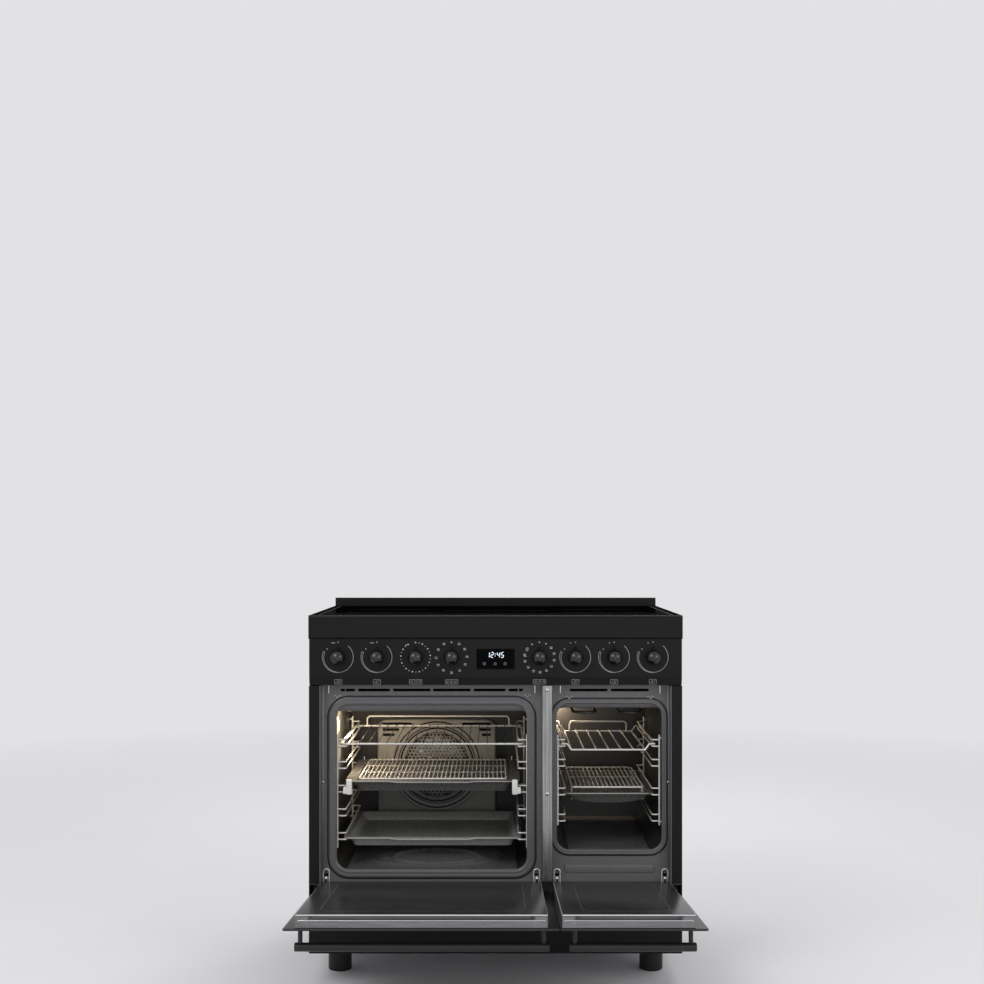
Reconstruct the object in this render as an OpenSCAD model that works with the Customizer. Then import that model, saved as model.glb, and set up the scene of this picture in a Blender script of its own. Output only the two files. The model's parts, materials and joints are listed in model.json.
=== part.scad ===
// Range cooker with two ovens side by side, an induction hob, and both drop-down doors standing open.
// +X is to the right as the user faces it, +Y goes to the back, +Z is up and the floor is Z = 0.
// The Y origin is the middle of the footprint with the doors open.

/* [Overall] */
// Width over the hob frame
overall_w = 900; // [890:5:960]
// Depth from the apron's front face to the back
overall_d = 600; // [590:5:640]
// How far the doors lean out from closed, in degrees
open_angle = 85; // [70:1:86]

/* [Hob] */
// Height of the hob frame and its apron
apron_h = 56; // [50:1:64]
// Wall of the hob frame
hob_wall = 3; // [3:0.5:4]
// Width of the rim round the glass
rim_w = 22; // [18:1:28]
// Radius of the rim's upright corners
rim_corner_r = 8; // [6:1:12]
// Radius of the apron's top and bottom edges
apron_edge_r = 5; // [4:0.5:6]
// Thickness of the hob glass
hob_glass_t = 4; // [4:0.5:6]
// Depth of the upstand from front to back
upstand_d = 22; // [18:1:30]
// Height of the upstand above the rim
upstand_rise = 22; // [10:1:60]
// Depth of the tray that holds the coils, below the glass
hob_tray_h = 40; // [36:1:44]
// Distance from the middle to the side zones' middles
zone_side = 267; // [240:1:290]
// Distance from the apron to the front zones' middles
zone_front = 169; // [150:1:175]
// Distance from the apron to the rear zones' middles
zone_rear = 339; // [335:1:360]
// Distance from the apron to the middle zone's middle
zone_mid = 275; // [250:1:300]
// Radius of the four side zones' coils
zone_small_r = 78; // [60:1:80]
// Radius of the middle zone's coil
zone_large_r = 110; // [90:1:120]

/* [Control panel] */
// Height of the upright face of the panel
panel_h = 91; // [84:1:98]
// Height of the leaning strip below the face
panel_lip_h = 20; // [16:1:24]
// How far the strip leans back over its height
panel_lip_lean = 5; // [3:0.5:8]
// How far the panel stands behind the apron
panel_inset = 4; // [2:0.5:6]
// Sheet thickness of the panel
panel_t = 2; // [1.5:0.5:3]
// Depth of the panel's folded edges
panel_fold = 26; // [20:1:28]
// Width of the clock's window
display_w = 93; // [80:1:110]
// Height of the clock's window
display_h = 50; // [40:1:60]
// Height of the window's middle above the strip
display_rise = 43; // [38:1:48]

/* [Knobs] */
// Distance from the middle to the first knob on each side
knob_first = 105.5; // [95:0.5:115]
// Distance from the cooker's side to the last knob
knob_margin = 72; // [66:0.5:80]
// Spacing of the three outer knobs
knob_pitch = 93; // [85:0.5:95]
// Height of the knobs above the strip
knob_rise = 47; // [40:1:50]
// Radius of the knob's ball
knob_r = 18.5; // [16:0.5:20]
// Radius of the collar behind the ball
knob_collar_r = 14.5; // [12:0.5:17]
// Thickness of the collar
knob_collar_t = 5; // [4:0.5:7]
// Distance from the knob's axis to the tip of its pointer
pointer_reach = 27; // [24:0.5:30]
// Width of the pointer at its root
pointer_w = 11; // [8:0.5:14]
// Radius of the spindle
spindle_r = 3; // [2.5:0.25:4]
// Radial running clearance of the spindles and fan shafts
shaft_gap = 0.05; // [0.03:0.01:0.08]
// Side of each switch body
switch_side = 32; // [28:1:36]
// Depth of each switch body
switch_d = 24; // [20:1:28]

/* [Body] */
// Sheet thickness of the casing
sheet = 1.5; // [1.2:0.1:2]
// Height of the fixed front panel below the doors
lower_panel_h = 120; // [100:1:140]
// How far the casing sides stand in from the hob frame
side_inset = 1.5; // [1:0.1:3]
// Width of each side's front strip
strip_w = 25.5; // [22:0.5:30]
// How far the front strips stand behind the apron
strip_inset = 7; // [6.5:0.5:10]
// How far the oven face stands behind the apron
face_inset = 40; // [39:0.5:44]
// Thickness of the oven face plate
face_t = 2; // [1.5:0.5:3]
// Height of the face plate's edge above the control panel's lower edge
face_overlap = 12; // [8:1:16]
// Width of the bright column between the ovens
column_w = 25; // [20:1:30]
// Height of the cooling slots
slot_h = 6.5; // [5:0.5:8]
// Distance from the control panel's lower edge down to the slots
slot_drop = 18.5; // [16:0.5:20]
// Start and end of the main oven's slots, as shares of the opening's half width
main_slots = [[0.013, 0.408], [0.44, 0.777], [0.807, 0.96]];
// Start and end of the second oven's slots, as shares of the opening's half width
second_slots = [[0.03, 0.755]];
// Thickness of the insulation round the ovens
insulation_t = 14; // [10:1:16]

/* [Main oven] */
// Distance from the doors' top edge down to the main opening
main_top_land = 50; // [46:1:60]
// Distance from the cooker's left edge to the main opening
main_margin = 65; // [62:0.5:75]
// Width of the main opening
main_w = 461; // [440:1:470]
// Height of the main opening above the hinge line
main_sill = 22; // [20:1:28]
// Depth of the main cavity
main_d = 420; // [400:5:430]
// How much wider the main cavity is than its opening, on each side
main_flare = 8; // [6:0.5:10]
// Corner radius of both openings
opening_r = 30; // [24:1:36]
// Wall of the oven cavities
cavity_t = 1.5; // [1.2:0.1:2]
// Width of the raised collar round each opening
collar_w = 18; // [14:1:20]
// Width of the door seal
seal_w = 8; // [6:0.5:10]

/* [Second oven] */
// Distance from the second opening to the cooker's right edge
second_margin = 47; // [44:0.5:56]
// Distance from the column to the second opening
second_gap = 11.5; // [11:0.5:16]
// Distance from the doors' top edge down to the second opening
second_top_land = 47; // [44:1:60]
// Height of the second opening above the hinge line
second_sill = 70; // [66:1:80]
// Depth of the second cavity
second_d = 420; // [400:5:430]
// How much wider the second cavity is than its opening, on each side
second_flare = 4; // [3:0.5:6]

/* [Doors] */
// Height of the doors' outer panels
door_h = 500; // [490:1:510]
// Thickness of the outer panel
skin_t = 5; // [4:0.5:6]
// Whole thickness of a door
door_t = 34; // [32:0.5:35]
// Thickness of the inner pane
pane_t = 4; // [3:0.5:5]
// Gap between the doors and what is above and beside them
door_gap = 2; // [1.5:0.25:3]
// How far the outer panel hangs below the hinge line
skin_drop = 30; // [26:1:34]
// Distance from the hinge line up to the inner frame
frame_lift = 11; // [10:0.5:14]
// How far the inner frame stops short of the outer panel's top edge
frame_drop = 4; // [2:0.5:8]
// Width of the members of the inner frame
frame_w = 24; // [20:1:30]
// Gap between the inner frame and the casing beside it
frame_gap = 3; // [2.5:0.5:4]
// Depth of the vent in a door's top edge
vent_deep = 12; // [8:1:16]
// Width of the vent, from front to back
vent_w = 8; // [6:0.5:10]

/* [Handles] */
// Radius of the handle bars
bar_r = 9.5; // [8:0.5:12]
// Distance from the door to the bar's middle
bar_reach = 41; // [36:1:50]
// Distance from the door's top edge to the bar
bar_drop = 45; // [40:1:60]
// Distance from the door's side to the end of the bar
bar_inset = 20; // [14:1:28]
// Radius of the handle posts
post_r = 5; // [4:0.5:7]
// Distance from a bar's end to its post
post_inset = 12; // [12:1:20]

/* [Hinges] */
// Thickness of a hinge arm
arm_t = 4; // [3:0.5:5]
// Half the height of a hinge arm
arm_half = 7; // [6:0.5:8]
// Radius of the hinge pins
pin_r = 3.5; // [3:0.25:4]
// Thickness of each ear on the door
ear_t = 3; // [2.5:0.5:3.5]
// Distance from the inner frame's side to the hinge
hinge_inset = 9; // [8.5:0.5:12]
// Side clearance in the hinges
hinge_gap = 0.3; // [0.2:0.05:0.4]

/* [Feet] */
// Height of the feet
foot_h = 78; // [70:1:90]
// Radius of the feet
foot_r = 29; // [25:1:32]
// Distance from a foot's middle to the side of the cooker
foot_side = 61; // [50:1:80]
// Distance from the apron to the front feet
foot_front = 149; // [120:1:160]
// Distance from the back to the rear feet
foot_back = 90; // [70:1:110]
// Radius of the foot's screw
foot_screw_r = 5; // [4:0.5:6]

/* [Racks and trays] */
// Radius of the runner wires
wire_r = 2; // [1.75:0.05:2.25]
// Radius of the upright wires
upright_r = 2.5; // [2.4:0.05:3]
// Distance from a cavity's wall to the upright wires
upright_off = 7; // [6:0.5:8]
// How far the runners of the main oven reach in from the upright wires
main_runner_reach = 21; // [18:0.5:23]
// How far the runners of the second oven reach in
second_runner_reach = 18; // [16:0.5:20]
// Height between the two wires of a runner
runner_gap = 16; // [15:0.5:18]
// Distance between the shelf levels of the main oven
main_level_pitch = 57.8; // [54:0.2:59]
// Height of the main oven's lowest runner above its floor
main_level_first = 68; // [66:1:78]
// How much lower the main oven's top level hangs than the even spacing gives
main_top_drop = 4; // [0:0.5:6]
// Heights of the second oven's runners above its floor
second_level_z = [65, 129, 199, 247.5];
// Distance from the face to the front of the racks
rack_front = 20; // [16:1:30]
// Depth of the racks and trays
rack_d = 362; // [340:1:368]
// Sheet thickness of the trays
tray_t = 1.2; // [1:0.1:1.5]
// Depth of the trays
tray_depth = 26; // [20:1:30]
// Radius of the bars that the wire shelves hang on
rail_r = 2.6; // [2.2:0.1:2.8]
// Radius of the thin shelf wires
thin_r = 1.4; // [1.2:0.1:1.6]
// Height of the wire shelves' rear stop
rear_stop_h = 26; // [20:1:30]
// How far the dropped shelf hangs below its runners
shelf_dip = 14.5; // [10:0.5:16]

/* [Fans and heat] */
// Radius of the oven fan's wheel
fan_r = 72; // [60:1:75]
// Radius of the round heating element's path
ring_r = 88; // [84:1:92]
// Radius of the heating elements
element_r = 3.5; // [3:0.25:4]
// Width of the fan cover
cover_w = 325; // [300:1:330]
// Height of the fan cover
cover_h = 288; // [270:1:300]
// Depth of the fan cover
cover_d = 26; // [25:1:30]
// Radius of the cooling blower's wheel
blower_r = 26; // [22:1:28]
// Length of the cooling blower's wheel
blower_l = 180; // [150:5:200]

// Radius of the oven lamps' lenses
lamp_r = 22; // [18:1:24]
// Distance from the oven face to the lamps' middle
lamp_in = 70; // [60:1:90]
// Distance from the second oven's ceiling to the grill's rods
grill_drop = 26; // [20:1:30]
// Distance from the second oven's wall to the grill's outer rod
grill_margin = 47.25; // [40:0.25:60]

/* [Services] */
// Radius of the cable gland's bore
gland_bore_r = 8; // [6:0.5:10]
// Radius of the cable gland's collar
gland_r = 15; // [13:0.5:18]

/* [Hidden] */
$fn = 48;
seat_gap = 0.3;
overlap = 1;

// Heights, from the floor up
pivot_in = face_inset;
swing_r = norm([pivot_in, skin_drop]);
swing_gap = 3;
lower_top = foot_h + lower_panel_h;
pivot_z = lower_top + swing_r + swing_gap;
skin_z = pivot_z - skin_drop;
door_top = skin_z + door_h;
lip_z = door_top + door_gap;
panel_z = lip_z + panel_lip_h;
apron_z = panel_z + panel_h;
hob_h = apron_z + apron_h;
main_z = pivot_z + main_sill;
main_h = door_top - main_top_land - main_z;
second_z = pivot_z + second_sill;
second_h = door_top - second_top_land - second_z;

// Depths, from the front back
door_reach = (door_top - pivot_z) * sin(open_angle) + pivot_in * (cos(open_angle) - 1);
front_y = (door_reach - overall_d) / 2;
back_y = front_y + overall_d;
strip_y = front_y + strip_inset;
face_y = front_y + face_inset;
face_back = face_y + face_t;
pivot_y = front_y + pivot_in;
pocket_y = pivot_y + skin_drop + 2 * swing_gap;
shelf_z = pivot_z - 2 * swing_gap;

// Places across the width
side_x = overall_w / 2 - side_inset;
strip_x = side_x - strip_w;
main_x0 = main_margin - overall_w / 2;
main_x1 = main_x0 + main_w;
main_cx = (main_x0 + main_x1) / 2;
column_gap = 36;
column_x0 = main_x1 + column_gap;
column_x1 = column_x0 + column_w;
second_x0 = column_x1 + second_gap;
second_x1 = overall_w / 2 - second_margin;
second_w = second_x1 - second_x0;
second_cx = (second_x0 + second_x1) / 2;
split_x = column_x1 - 2;
door_side = side_x - sheet - door_gap / 2;
main_cz = main_z + main_h / 2;
second_cz = second_z + second_h / 2;

// A door is [left edge, right edge, inner frame's left, inner frame's right]
left_door = [-door_side, split_x - door_gap / 2, -(strip_x - sheet - 2), column_x0 - frame_gap];
right_door = [split_x + door_gap / 2, door_side, column_x1 + frame_gap, strip_x - sheet - 2];

// Panel face, strip and knob places
panel_y = front_y + panel_inset;
panel_back = panel_y + panel_t;
knob_z = lip_z + panel_lip_h + knob_rise;
display_z = lip_z + panel_lip_h + display_rise;
knob_last = overall_w / 2 - knob_margin;
knob_x = [
    -knob_last, knob_pitch - knob_last, 2 * knob_pitch - knob_last, -knob_first,
    knob_first, knob_last - 2 * knob_pitch, knob_last - knob_pitch, knob_last
];

// Shelf levels: the height of the lower wire of each runner
main_levels = [
    for (i = [0:4]) main_z + main_level_first + i * main_level_pitch - (i == 4 ? main_top_drop : 0)
];
second_levels = [for (h = second_level_z) second_z + h];
rack_y0 = face_y + rack_front;
rack_y1 = rack_y0 + rack_d;
main_half = main_w / 2 + main_flare;
second_half = second_w / 2 + second_flare;
main_runner_x = main_half - upright_off - main_runner_reach;
second_runner_x = second_half - upright_off - second_runner_reach;
main_back = face_back + main_d;
second_back = face_back + second_d;

// Telescopic guides of the main oven's third level
guide_level = main_levels[2];
guide_h = 20;
guide_lift = 8;
outer_rail_t = 7;
inner_rail_t = 6;
outer_rail_x = main_runner_x - wire_r - seat_gap;
inner_rail_x = outer_rail_x - outer_rail_t - seat_gap;
guide_z = guide_level - wire_r;
guide_top = guide_z + guide_h + guide_lift;
block_d = 11;
block_h = 36;

// Fan, lamp and blower places
fan_x = main_cx - 4.5;
fan_z = main_z + 192;
fan_shaft_r = 4;
// Distance the fan's shaft reaches in front of the cavity's back wall
fan_front = 20;
// Distance from the fan's axis down to the middle of its cover
cover_drop = 20;
lamp_drop = opening_r + lamp_r + 6;
main_lamp_z = main_z + main_h - lamp_drop;
second_lamp_z = second_z + second_h - lamp_drop;
lamp_y = face_y + lamp_in;
grill_span = (second_half - grill_margin) / 3;
grill_z = second_z + second_h - grill_drop;
blower_x = main_cx;
blower_z = apron_z - 52;
blower_y = back_y - 120;
duct_z = lip_z - 29;
duct_h = 26;

// ---- shared shapes ----

// A block between two corners
module block(x0, x1, y0, y1, z0, z1) {
    translate([x0, y0, z0]) cube([x1 - x0, y1 - y0, z1 - z0]);
}

// A flat rounded rectangle about the origin
module round_rect(w, h, r) {
    square([w - 2 * r, h], center = true);
    square([w, h - 2 * r], center = true);
    for (sx = [-1, 1], sy = [-1, 1]) translate([sx * (w / 2 - r), sy * (h / 2 - r)]) circle(r);
}

// A rounded plate that stands across the width, from y0 to y1
module upright(cx, cz, w, h, r, y0, y1) {
    translate([cx, y1, cz]) rotate([90, 0, 0]) linear_extrude(y1 - y0) round_rect(w, h, r);
}

// A rounded plate that lies flat, from z0 to z1
module flat_plate(cx, cy, w, d, r, z0, z1) {
    translate([cx, cy, z0]) linear_extrude(z1 - z0) round_rect(w, d, r);
}

// Straight wires along each axis
module wire_x(x0, x1, y, z, r) {
    translate([x0, y, z]) rotate([0, 90, 0]) cylinder(h = x1 - x0, r = r);
}
module wire_y(x, y0, y1, z, r) {
    translate([x, y0, z]) rotate([-90, 0, 0]) cylinder(h = y1 - y0, r = r);
}
module wire_z(x, y, z0, z1, r) {
    translate([x, y, z0]) cylinder(h = z1 - z0, r = r);
}

// A quarter bend of a wire in the XY plane, about the bend's centre, starting on the given side
module bend(x, y, z, bend_r, r, start) {
    translate([x, y, z]) rotate([0, 0, start]) rotate_extrude(angle = 90) translate([bend_r, 0]) circle(r);
}

// What a door's pieces do to stand open
module open_pose() {
    translate([0, pivot_y, pivot_z]) rotate([open_angle, 0, 0]) translate([0, -pivot_y, -pivot_z]) children();
}

// ---- casing ----

// Folded base with a turned-up edge and the four foot screws' holes
module base_frame() {
    edge_h = 22;
    half = side_x - sheet - seat_gap;
    y0 = strip_y + sheet + seat_gap;
    y1 = back_y - sheet - seat_gap;
    color("dimgray") difference() {
        block(-half, half, y0, y1, foot_h, foot_h + edge_h);
        block(-half + 2, half - 2, y0 + 2, y1 - 2, foot_h + 2, foot_h + edge_h + overlap);
        for (p = foot_places()) translate([p[0], p[1], foot_h - overlap])
            cylinder(h = 2 + 2 * overlap, r = foot_screw_r + shaft_gap);
    }
}

function foot_places() = [
    for (sx = [-1, 1], y = [front_y + foot_front, back_y - foot_back]) [sx * (overall_w / 2 - foot_side), y]
];

// One side of the casing: the sheet and its front strip, left open where the door swings in
module side_panel() {
    color("#26262a") {
        block(side_x - sheet, side_x, strip_y, back_y, foot_h, door_top);
        block(side_x - sheet, side_x, panel_y + panel_fold + door_gap, back_y, door_top, apron_z);
        block(strip_x, side_x, strip_y, strip_y + sheet, foot_h, lower_top);
        block(strip_x, side_x, strip_y, strip_y + sheet, shelf_z, door_top);
    }
}

module side_panel_left() {
    mirror([1, 0, 0]) side_panel();
}

module side_panel_right() {
    side_panel();
}

// Rear cover, with rows of air slots and the cable gland's hole
module back_cover() {
    half = side_x - sheet - seat_gap;
    color("dimgray") difference() {
        block(-half, half, back_y - sheet, back_y, foot_h, apron_z);
        for (row = [0:4], col = [-3:3])
            block(col * 90 - 35, col * 90 + 35, back_y - sheet - overlap, back_y + overlap,
                apron_z - 60 - row * 14, apron_z - 55 - row * 14);
        gland_place() cylinder(h = 20, r = gland_r - 4, center = true);
    }
}

// Fixed front panel below the doors, with its top folded back to the hinge pocket
module lower_front_panel() {
    half = strip_x - seat_gap;
    wide = side_x - sheet - seat_gap;
    color("#202024") {
        block(-half, half, strip_y, strip_y + sheet, foot_h, lower_top);
        block(-half, half, strip_y, pocket_y + face_t, lower_top - sheet, lower_top);
        block(-wide, wide, strip_y + sheet + seat_gap, pocket_y + face_t, lower_top - sheet, lower_top);
    }
}

// Round foot with a screw up through the base
module foot() {
    edge = 4;
    translate([0, 0, edge]) cylinder(h = foot_h - edge, r = foot_r);
    cylinder(h = edge, r1 = foot_r - edge / 2, r2 = foot_r);
    cylinder(h = foot_h + 14, r = foot_screw_r);
}

module feet() {
    color("#1a1a1a") for (p = foot_places()) translate([p[0], p[1], 0]) foot();
}

// ---- oven face ----

// Cooling slots with round ends over an opening, alike on both sides of its middle
module slot_row(cx, w, shares) {
    for (side = [-1, 1], share = shares)
        upright(cx + side * (share[0] + share[1]) / 2 * w / 2, lip_z - slot_drop + slot_h / 2,
            (share[1] - share[0]) * w / 2, slot_h, slot_h * 0.45, face_y - overlap, face_back + overlap);
}

// Enamelled face round both openings, with the hinge pocket folded in below
module face_frame() {
    half = strip_x - sheet;
    wide = side_x - sheet - seat_gap;
    top = lip_z + face_overlap;
    collar_y = face_y - 1.5;
    color("#77777b") difference() {
        union() {
            block(-half, half, face_y, face_back, shelf_z, top);
            for (side = [0, 1]) mirror([side, 0, 0]) {
                block(half, half + sheet, strip_y, face_back, shelf_z - face_t, door_top);
                block(half, wide, strip_y + sheet + seat_gap, face_back, shelf_z - face_t, shelf_z);
            }
            block(-wide, wide, face_y, pocket_y + face_t, shelf_z - face_t, shelf_z);
            block(-wide, wide, pocket_y, pocket_y + face_t, lower_top, shelf_z);
            upright(main_cx, main_cz, main_w + 2 * collar_w, main_h + 2 * collar_w,
                opening_r + collar_w, collar_y, face_back);
            upright(second_cx, second_cz, second_w + collar_w, second_h + collar_w,
                opening_r + collar_w / 2, collar_y, face_back);
        }
        upright(main_cx, main_cz, main_w, main_h, opening_r, collar_y - overlap, face_back + overlap);
        upright(second_cx, second_cz, second_w, second_h, opening_r, collar_y - overlap, face_back + overlap);
        slot_row(main_cx, main_w, main_slots);
        slot_row(second_cx, second_w, second_slots);
        upright(second_cx, second_z - 47, second_w - 34, 19, 6, face_y - overlap, face_y + 0.8);
        for (x = hinge_places()) block(x - 8, x + 8, face_y - overlap, pocket_y, shelf_z - 4, pivot_z + 12);
    }
}

// Silicone rope seals round both openings
module oven_seals() {
    seal_y = front_y + door_t + seat_gap;
    color("#3a3a3c") {
        seal(main_cx, main_cz, main_w + collar_w, main_h + collar_w, opening_r + collar_w / 2, seal_y);
        seal(second_cx, second_cz, second_w + collar_w - seal_w, second_h + collar_w - seal_w,
            opening_r + (collar_w - seal_w) / 2, seal_y);
    }
}

module seal(cx, cz, w, h, r, y) {
    difference() {
        upright(cx, cz, w + seal_w, h + seal_w, r + seal_w / 2, y, face_y - 1.5);
        upright(cx, cz, w - seal_w, h - seal_w, r - seal_w / 2, y - overlap, face_y);
    }
}

// Bright folded channel between the two doors
module centre_column() {
    z0 = pivot_z + 4;
    color("silver") difference() {
        block(column_x0, column_x1, strip_y, face_y, z0, door_top);
        block(column_x0 + sheet, column_x1 - sheet, strip_y + sheet, face_y + overlap, z0 - overlap, door_top + overlap);
        for (z = column_screw_z()) translate([(column_x0 + column_x1) / 2, strip_y + 5, z])
            rotate([90, 0, 0]) cylinder(h = 10, r = 2.2);
    }
}

function column_screw_z() = [door_top - 10, main_cz - 11];

// Panhead screws of the column and the side returns
module face_screws() {
    color("gainsboro") for (z = column_screw_z()) translate([(column_x0 + column_x1) / 2, strip_y, z])
        rotate([90, 0, 0]) {
            cylinder(h = 1.4, r = 4.2);
            translate([0, 0, -9]) cylinder(h = 9, r = 2);
        }
}

// A cavity: an enamelled box open at the front
module cavity(cx, cz, w, h, back) {
    difference() {
        upright(cx, cz, w + 2 * cavity_t, h + 2 * cavity_t, opening_r + cavity_t, face_back, back + cavity_t);
        upright(cx, cz, w, h, opening_r, face_back - overlap, back);
    }
}

module main_cavity() {
    color("#5b5b5e") difference() {
        cavity(main_cx, main_cz, 2 * main_half, main_h, main_back);
        translate([fan_x, main_back - overlap, fan_z]) rotate([-90, 0, 0])
            cylinder(h = cavity_t + 2 * overlap, r = fan_shaft_r + 2);
        wire_x(main_cx - main_half - cavity_t - overlap, main_cx - main_half + overlap, lamp_y, main_lamp_z, lamp_r - 4);
        for (s = [-1, 1]) wire_y(fan_x + s * 14, main_back - overlap, main_back + cavity_t + overlap,
            fan_z + ring_r, element_r + seat_gap);
    }
}

module second_cavity() {
    color("#5b5b5e") difference() {
        cavity(second_cx, second_cz, 2 * second_half, second_h, second_back);
        wire_x(second_cx - second_half - cavity_t - overlap, second_cx - second_half + overlap,
            lamp_y, second_lamp_z, lamp_r - 4);
        for (s = [-1, 1]) wire_y(second_cx + s * 3 * grill_span, second_back - overlap,
            second_back + cavity_t + overlap, grill_z, element_r + seat_gap);
    }
}

// Blankets round the two cavities, with a gap left round each lamp
module blanket(cx, cz, half_w, h, back, lamp_z) {
    t = insulation_t;
    gap = cavity_t + seat_gap;
    y0 = pocket_y + face_t + seat_gap;
    difference() {
        upright(cx, cz, 2 * (half_w + gap + t), h + 2 * (gap + t), opening_r + gap + t, y0, back);
        upright(cx, cz, 2 * (half_w + gap), h + 2 * gap, opening_r + gap, y0 - overlap, back + overlap);
        wire_x(cx - half_w - gap - t - overlap, cx - half_w, lamp_y, lamp_z, lamp_r + 6);
    }
}

module insulation() {
    color("khaki") {
        blanket(main_cx, main_cz, main_half, main_h, main_back, main_lamp_z);
        blanket(second_cx, second_cz, second_half, second_h, second_back, second_lamp_z);
    }
}

// ---- hob ----

// Frame round the glass with its deep front apron, rounded along the front edges
module hob_frame() {
    d = overall_d - upstand_d;
    cy = front_y + d / 2;
    color("#26262a") difference() {
        intersection() {
            flat_plate(0, cy, overall_w, d, rim_corner_r, apron_z, hob_h);
            translate([-overall_w / 2, 0, 0]) rotate([90, 0, 90]) linear_extrude(overall_w)
                translate([front_y + d / 2 + 10, apron_z + apron_h / 2])
                round_rect(d + 20, apron_h, apron_edge_r);
        }
        block(-overall_w / 2 + hob_wall, overall_w / 2 - hob_wall, front_y + hob_wall,
            front_y + d - hob_wall, apron_z - overlap, hob_h - hob_glass_t - hob_wall);
        flat_plate(0, cy, overall_w - 2 * rim_w, d - 2 * rim_w, 4, hob_h - hob_glass_t, hob_h + overlap);
        flat_plate(0, cy, overall_w - 2 * rim_w - 16, d - 2 * rim_w - 16, 4, apron_z, hob_h + overlap);
    }
}

module hob_glass() {
    d = overall_d - upstand_d - 2 * rim_w - 2 * seat_gap;
    cy = front_y + (overall_d - upstand_d) / 2;
    color("#0c0c0e") flat_plate(0, cy, overall_w - 2 * rim_w - 2 * seat_gap, d, 4, hob_h - hob_glass_t, hob_h - 0.4);
}

// Tray under the glass, hung from the frame's underside
hob_tray_top = hob_h - hob_glass_t - hob_wall;
hob_tray_z = hob_tray_top - hob_tray_h;
hob_tray_t = 1.2;
module hob_tray() {
    half = overall_w / 2 - rim_w;
    y0 = front_y + rim_w;
    y1 = front_y + overall_d - upstand_d - rim_w;
    color("silver") difference() {
        block(-half, half, y0, y1, hob_tray_z, hob_tray_top);
        block(-half + hob_tray_t, half - hob_tray_t, y0 + hob_tray_t, y1 - hob_tray_t,
            hob_tray_z + hob_tray_t, hob_tray_top + overlap);
    }
}

// Cooking zones: place across, place from the front, radius
zones = concat([[0, zone_mid, zone_large_r]],
    [for (s = [-1, 1], y = [zone_front, zone_rear]) [s * zone_side, y, zone_small_r]]);

module induction_coils() {
    top = hob_h - hob_glass_t - 1;
    color("peru") for (z = zones) translate([z[0], front_y + z[1], 0]) {
        difference() {
            translate([0, 0, top - 8]) cylinder(h = 8, r = z[2]);
            translate([0, 0, top - 5]) cylinder(h = 6, r = z[2] * 0.3);
        }
        translate([0, 0, hob_tray_z + hob_tray_t]) cylinder(h = top - 8 - hob_tray_z - hob_tray_t, r = 12);
    }
}

module upstand() {
    y0 = back_y - upstand_d;
    top = hob_h + upstand_rise;
    color("#26262a") difference() {
        block(-overall_w / 2, overall_w / 2, y0, back_y, apron_z, top);
        block(-overall_w / 2 + 2, overall_w / 2 - 2, y0 + 2, back_y - 2, apron_z - overlap, top - 2);
    }
}

// ---- control panel ----

// Folded panel: an upright face, a leaning strip below and edges turned back
module control_panel() {
    half = side_x - 1;
    t = panel_t;
    y = panel_y;
    fold = panel_fold;
    lean = panel_lip_lean;
    color("#2a2a2e") difference() {
        translate([-half, 0, 0]) rotate([90, 0, 90]) linear_extrude(2 * half) polygon([
            [y, apron_z], [y, panel_z], [y + lean, lip_z], [y + fold, lip_z], [y + fold, lip_z + t],
            [y + lean + t * 0.9, lip_z + t], [y + t, panel_z + t * 0.2], [y + t, apron_z - t],
            [y + fold, apron_z - t], [y + fold, apron_z]
        ]);
        upright(0, display_z, display_w, display_h, 3, y - overlap, y + t + overlap);
        for (x = knob_x) translate([x, y + t + overlap, knob_z]) rotate([90, 0, 0])
            cylinder(h = t + 2 * overlap, r = spindle_r + 2);
    }
}

module display_window() {
    color("#08080a") upright(0, display_z, display_w - 2 * seat_gap, display_h - 2 * seat_gap, 3,
        panel_y - 0.6, panel_back);
}

// Rotary switches behind the panel, one for each knob
module control_switches() {
    color("white") for (x = knob_x) difference() {
        block(x - switch_side / 2, x + switch_side / 2, panel_back, panel_back + switch_d,
            knob_z - switch_side / 2, knob_z + switch_side / 2);
        translate([x, panel_back + switch_d - 4, knob_z]) rotate([90, 0, 0])
            cylinder(h = switch_d, r = spindle_r + shaft_gap);
    }
}

// Clock board behind the window and the two power boards under the coils
board_half = 50;
board_x = 130;
board_y = front_y + zone_front - 40;
board_lift = 7;
board_t = 2;
module circuit_boards() {
    color("darkgreen") {
        block(-display_w / 2 - 8, display_w / 2 + 8, panel_back, panel_back + 12,
            display_z - display_h / 2 - 5, display_z + display_h / 2 + 5);
        for (x = [-board_x, board_x]) {
            block(x - board_half, x + board_half, board_y - board_half, board_y + board_half,
                hob_tray_z + board_lift, hob_tray_z + board_lift + board_t);
            for (sx = [-1, 1], sy = [-1, 1])
                translate([x + sx * (board_half - 10), board_y + sy * (board_half - 10), hob_tray_z + hob_tray_t])
                cylinder(h = board_lift - hob_tray_t + 0.2, r = 3);
        }
    }
}

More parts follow.
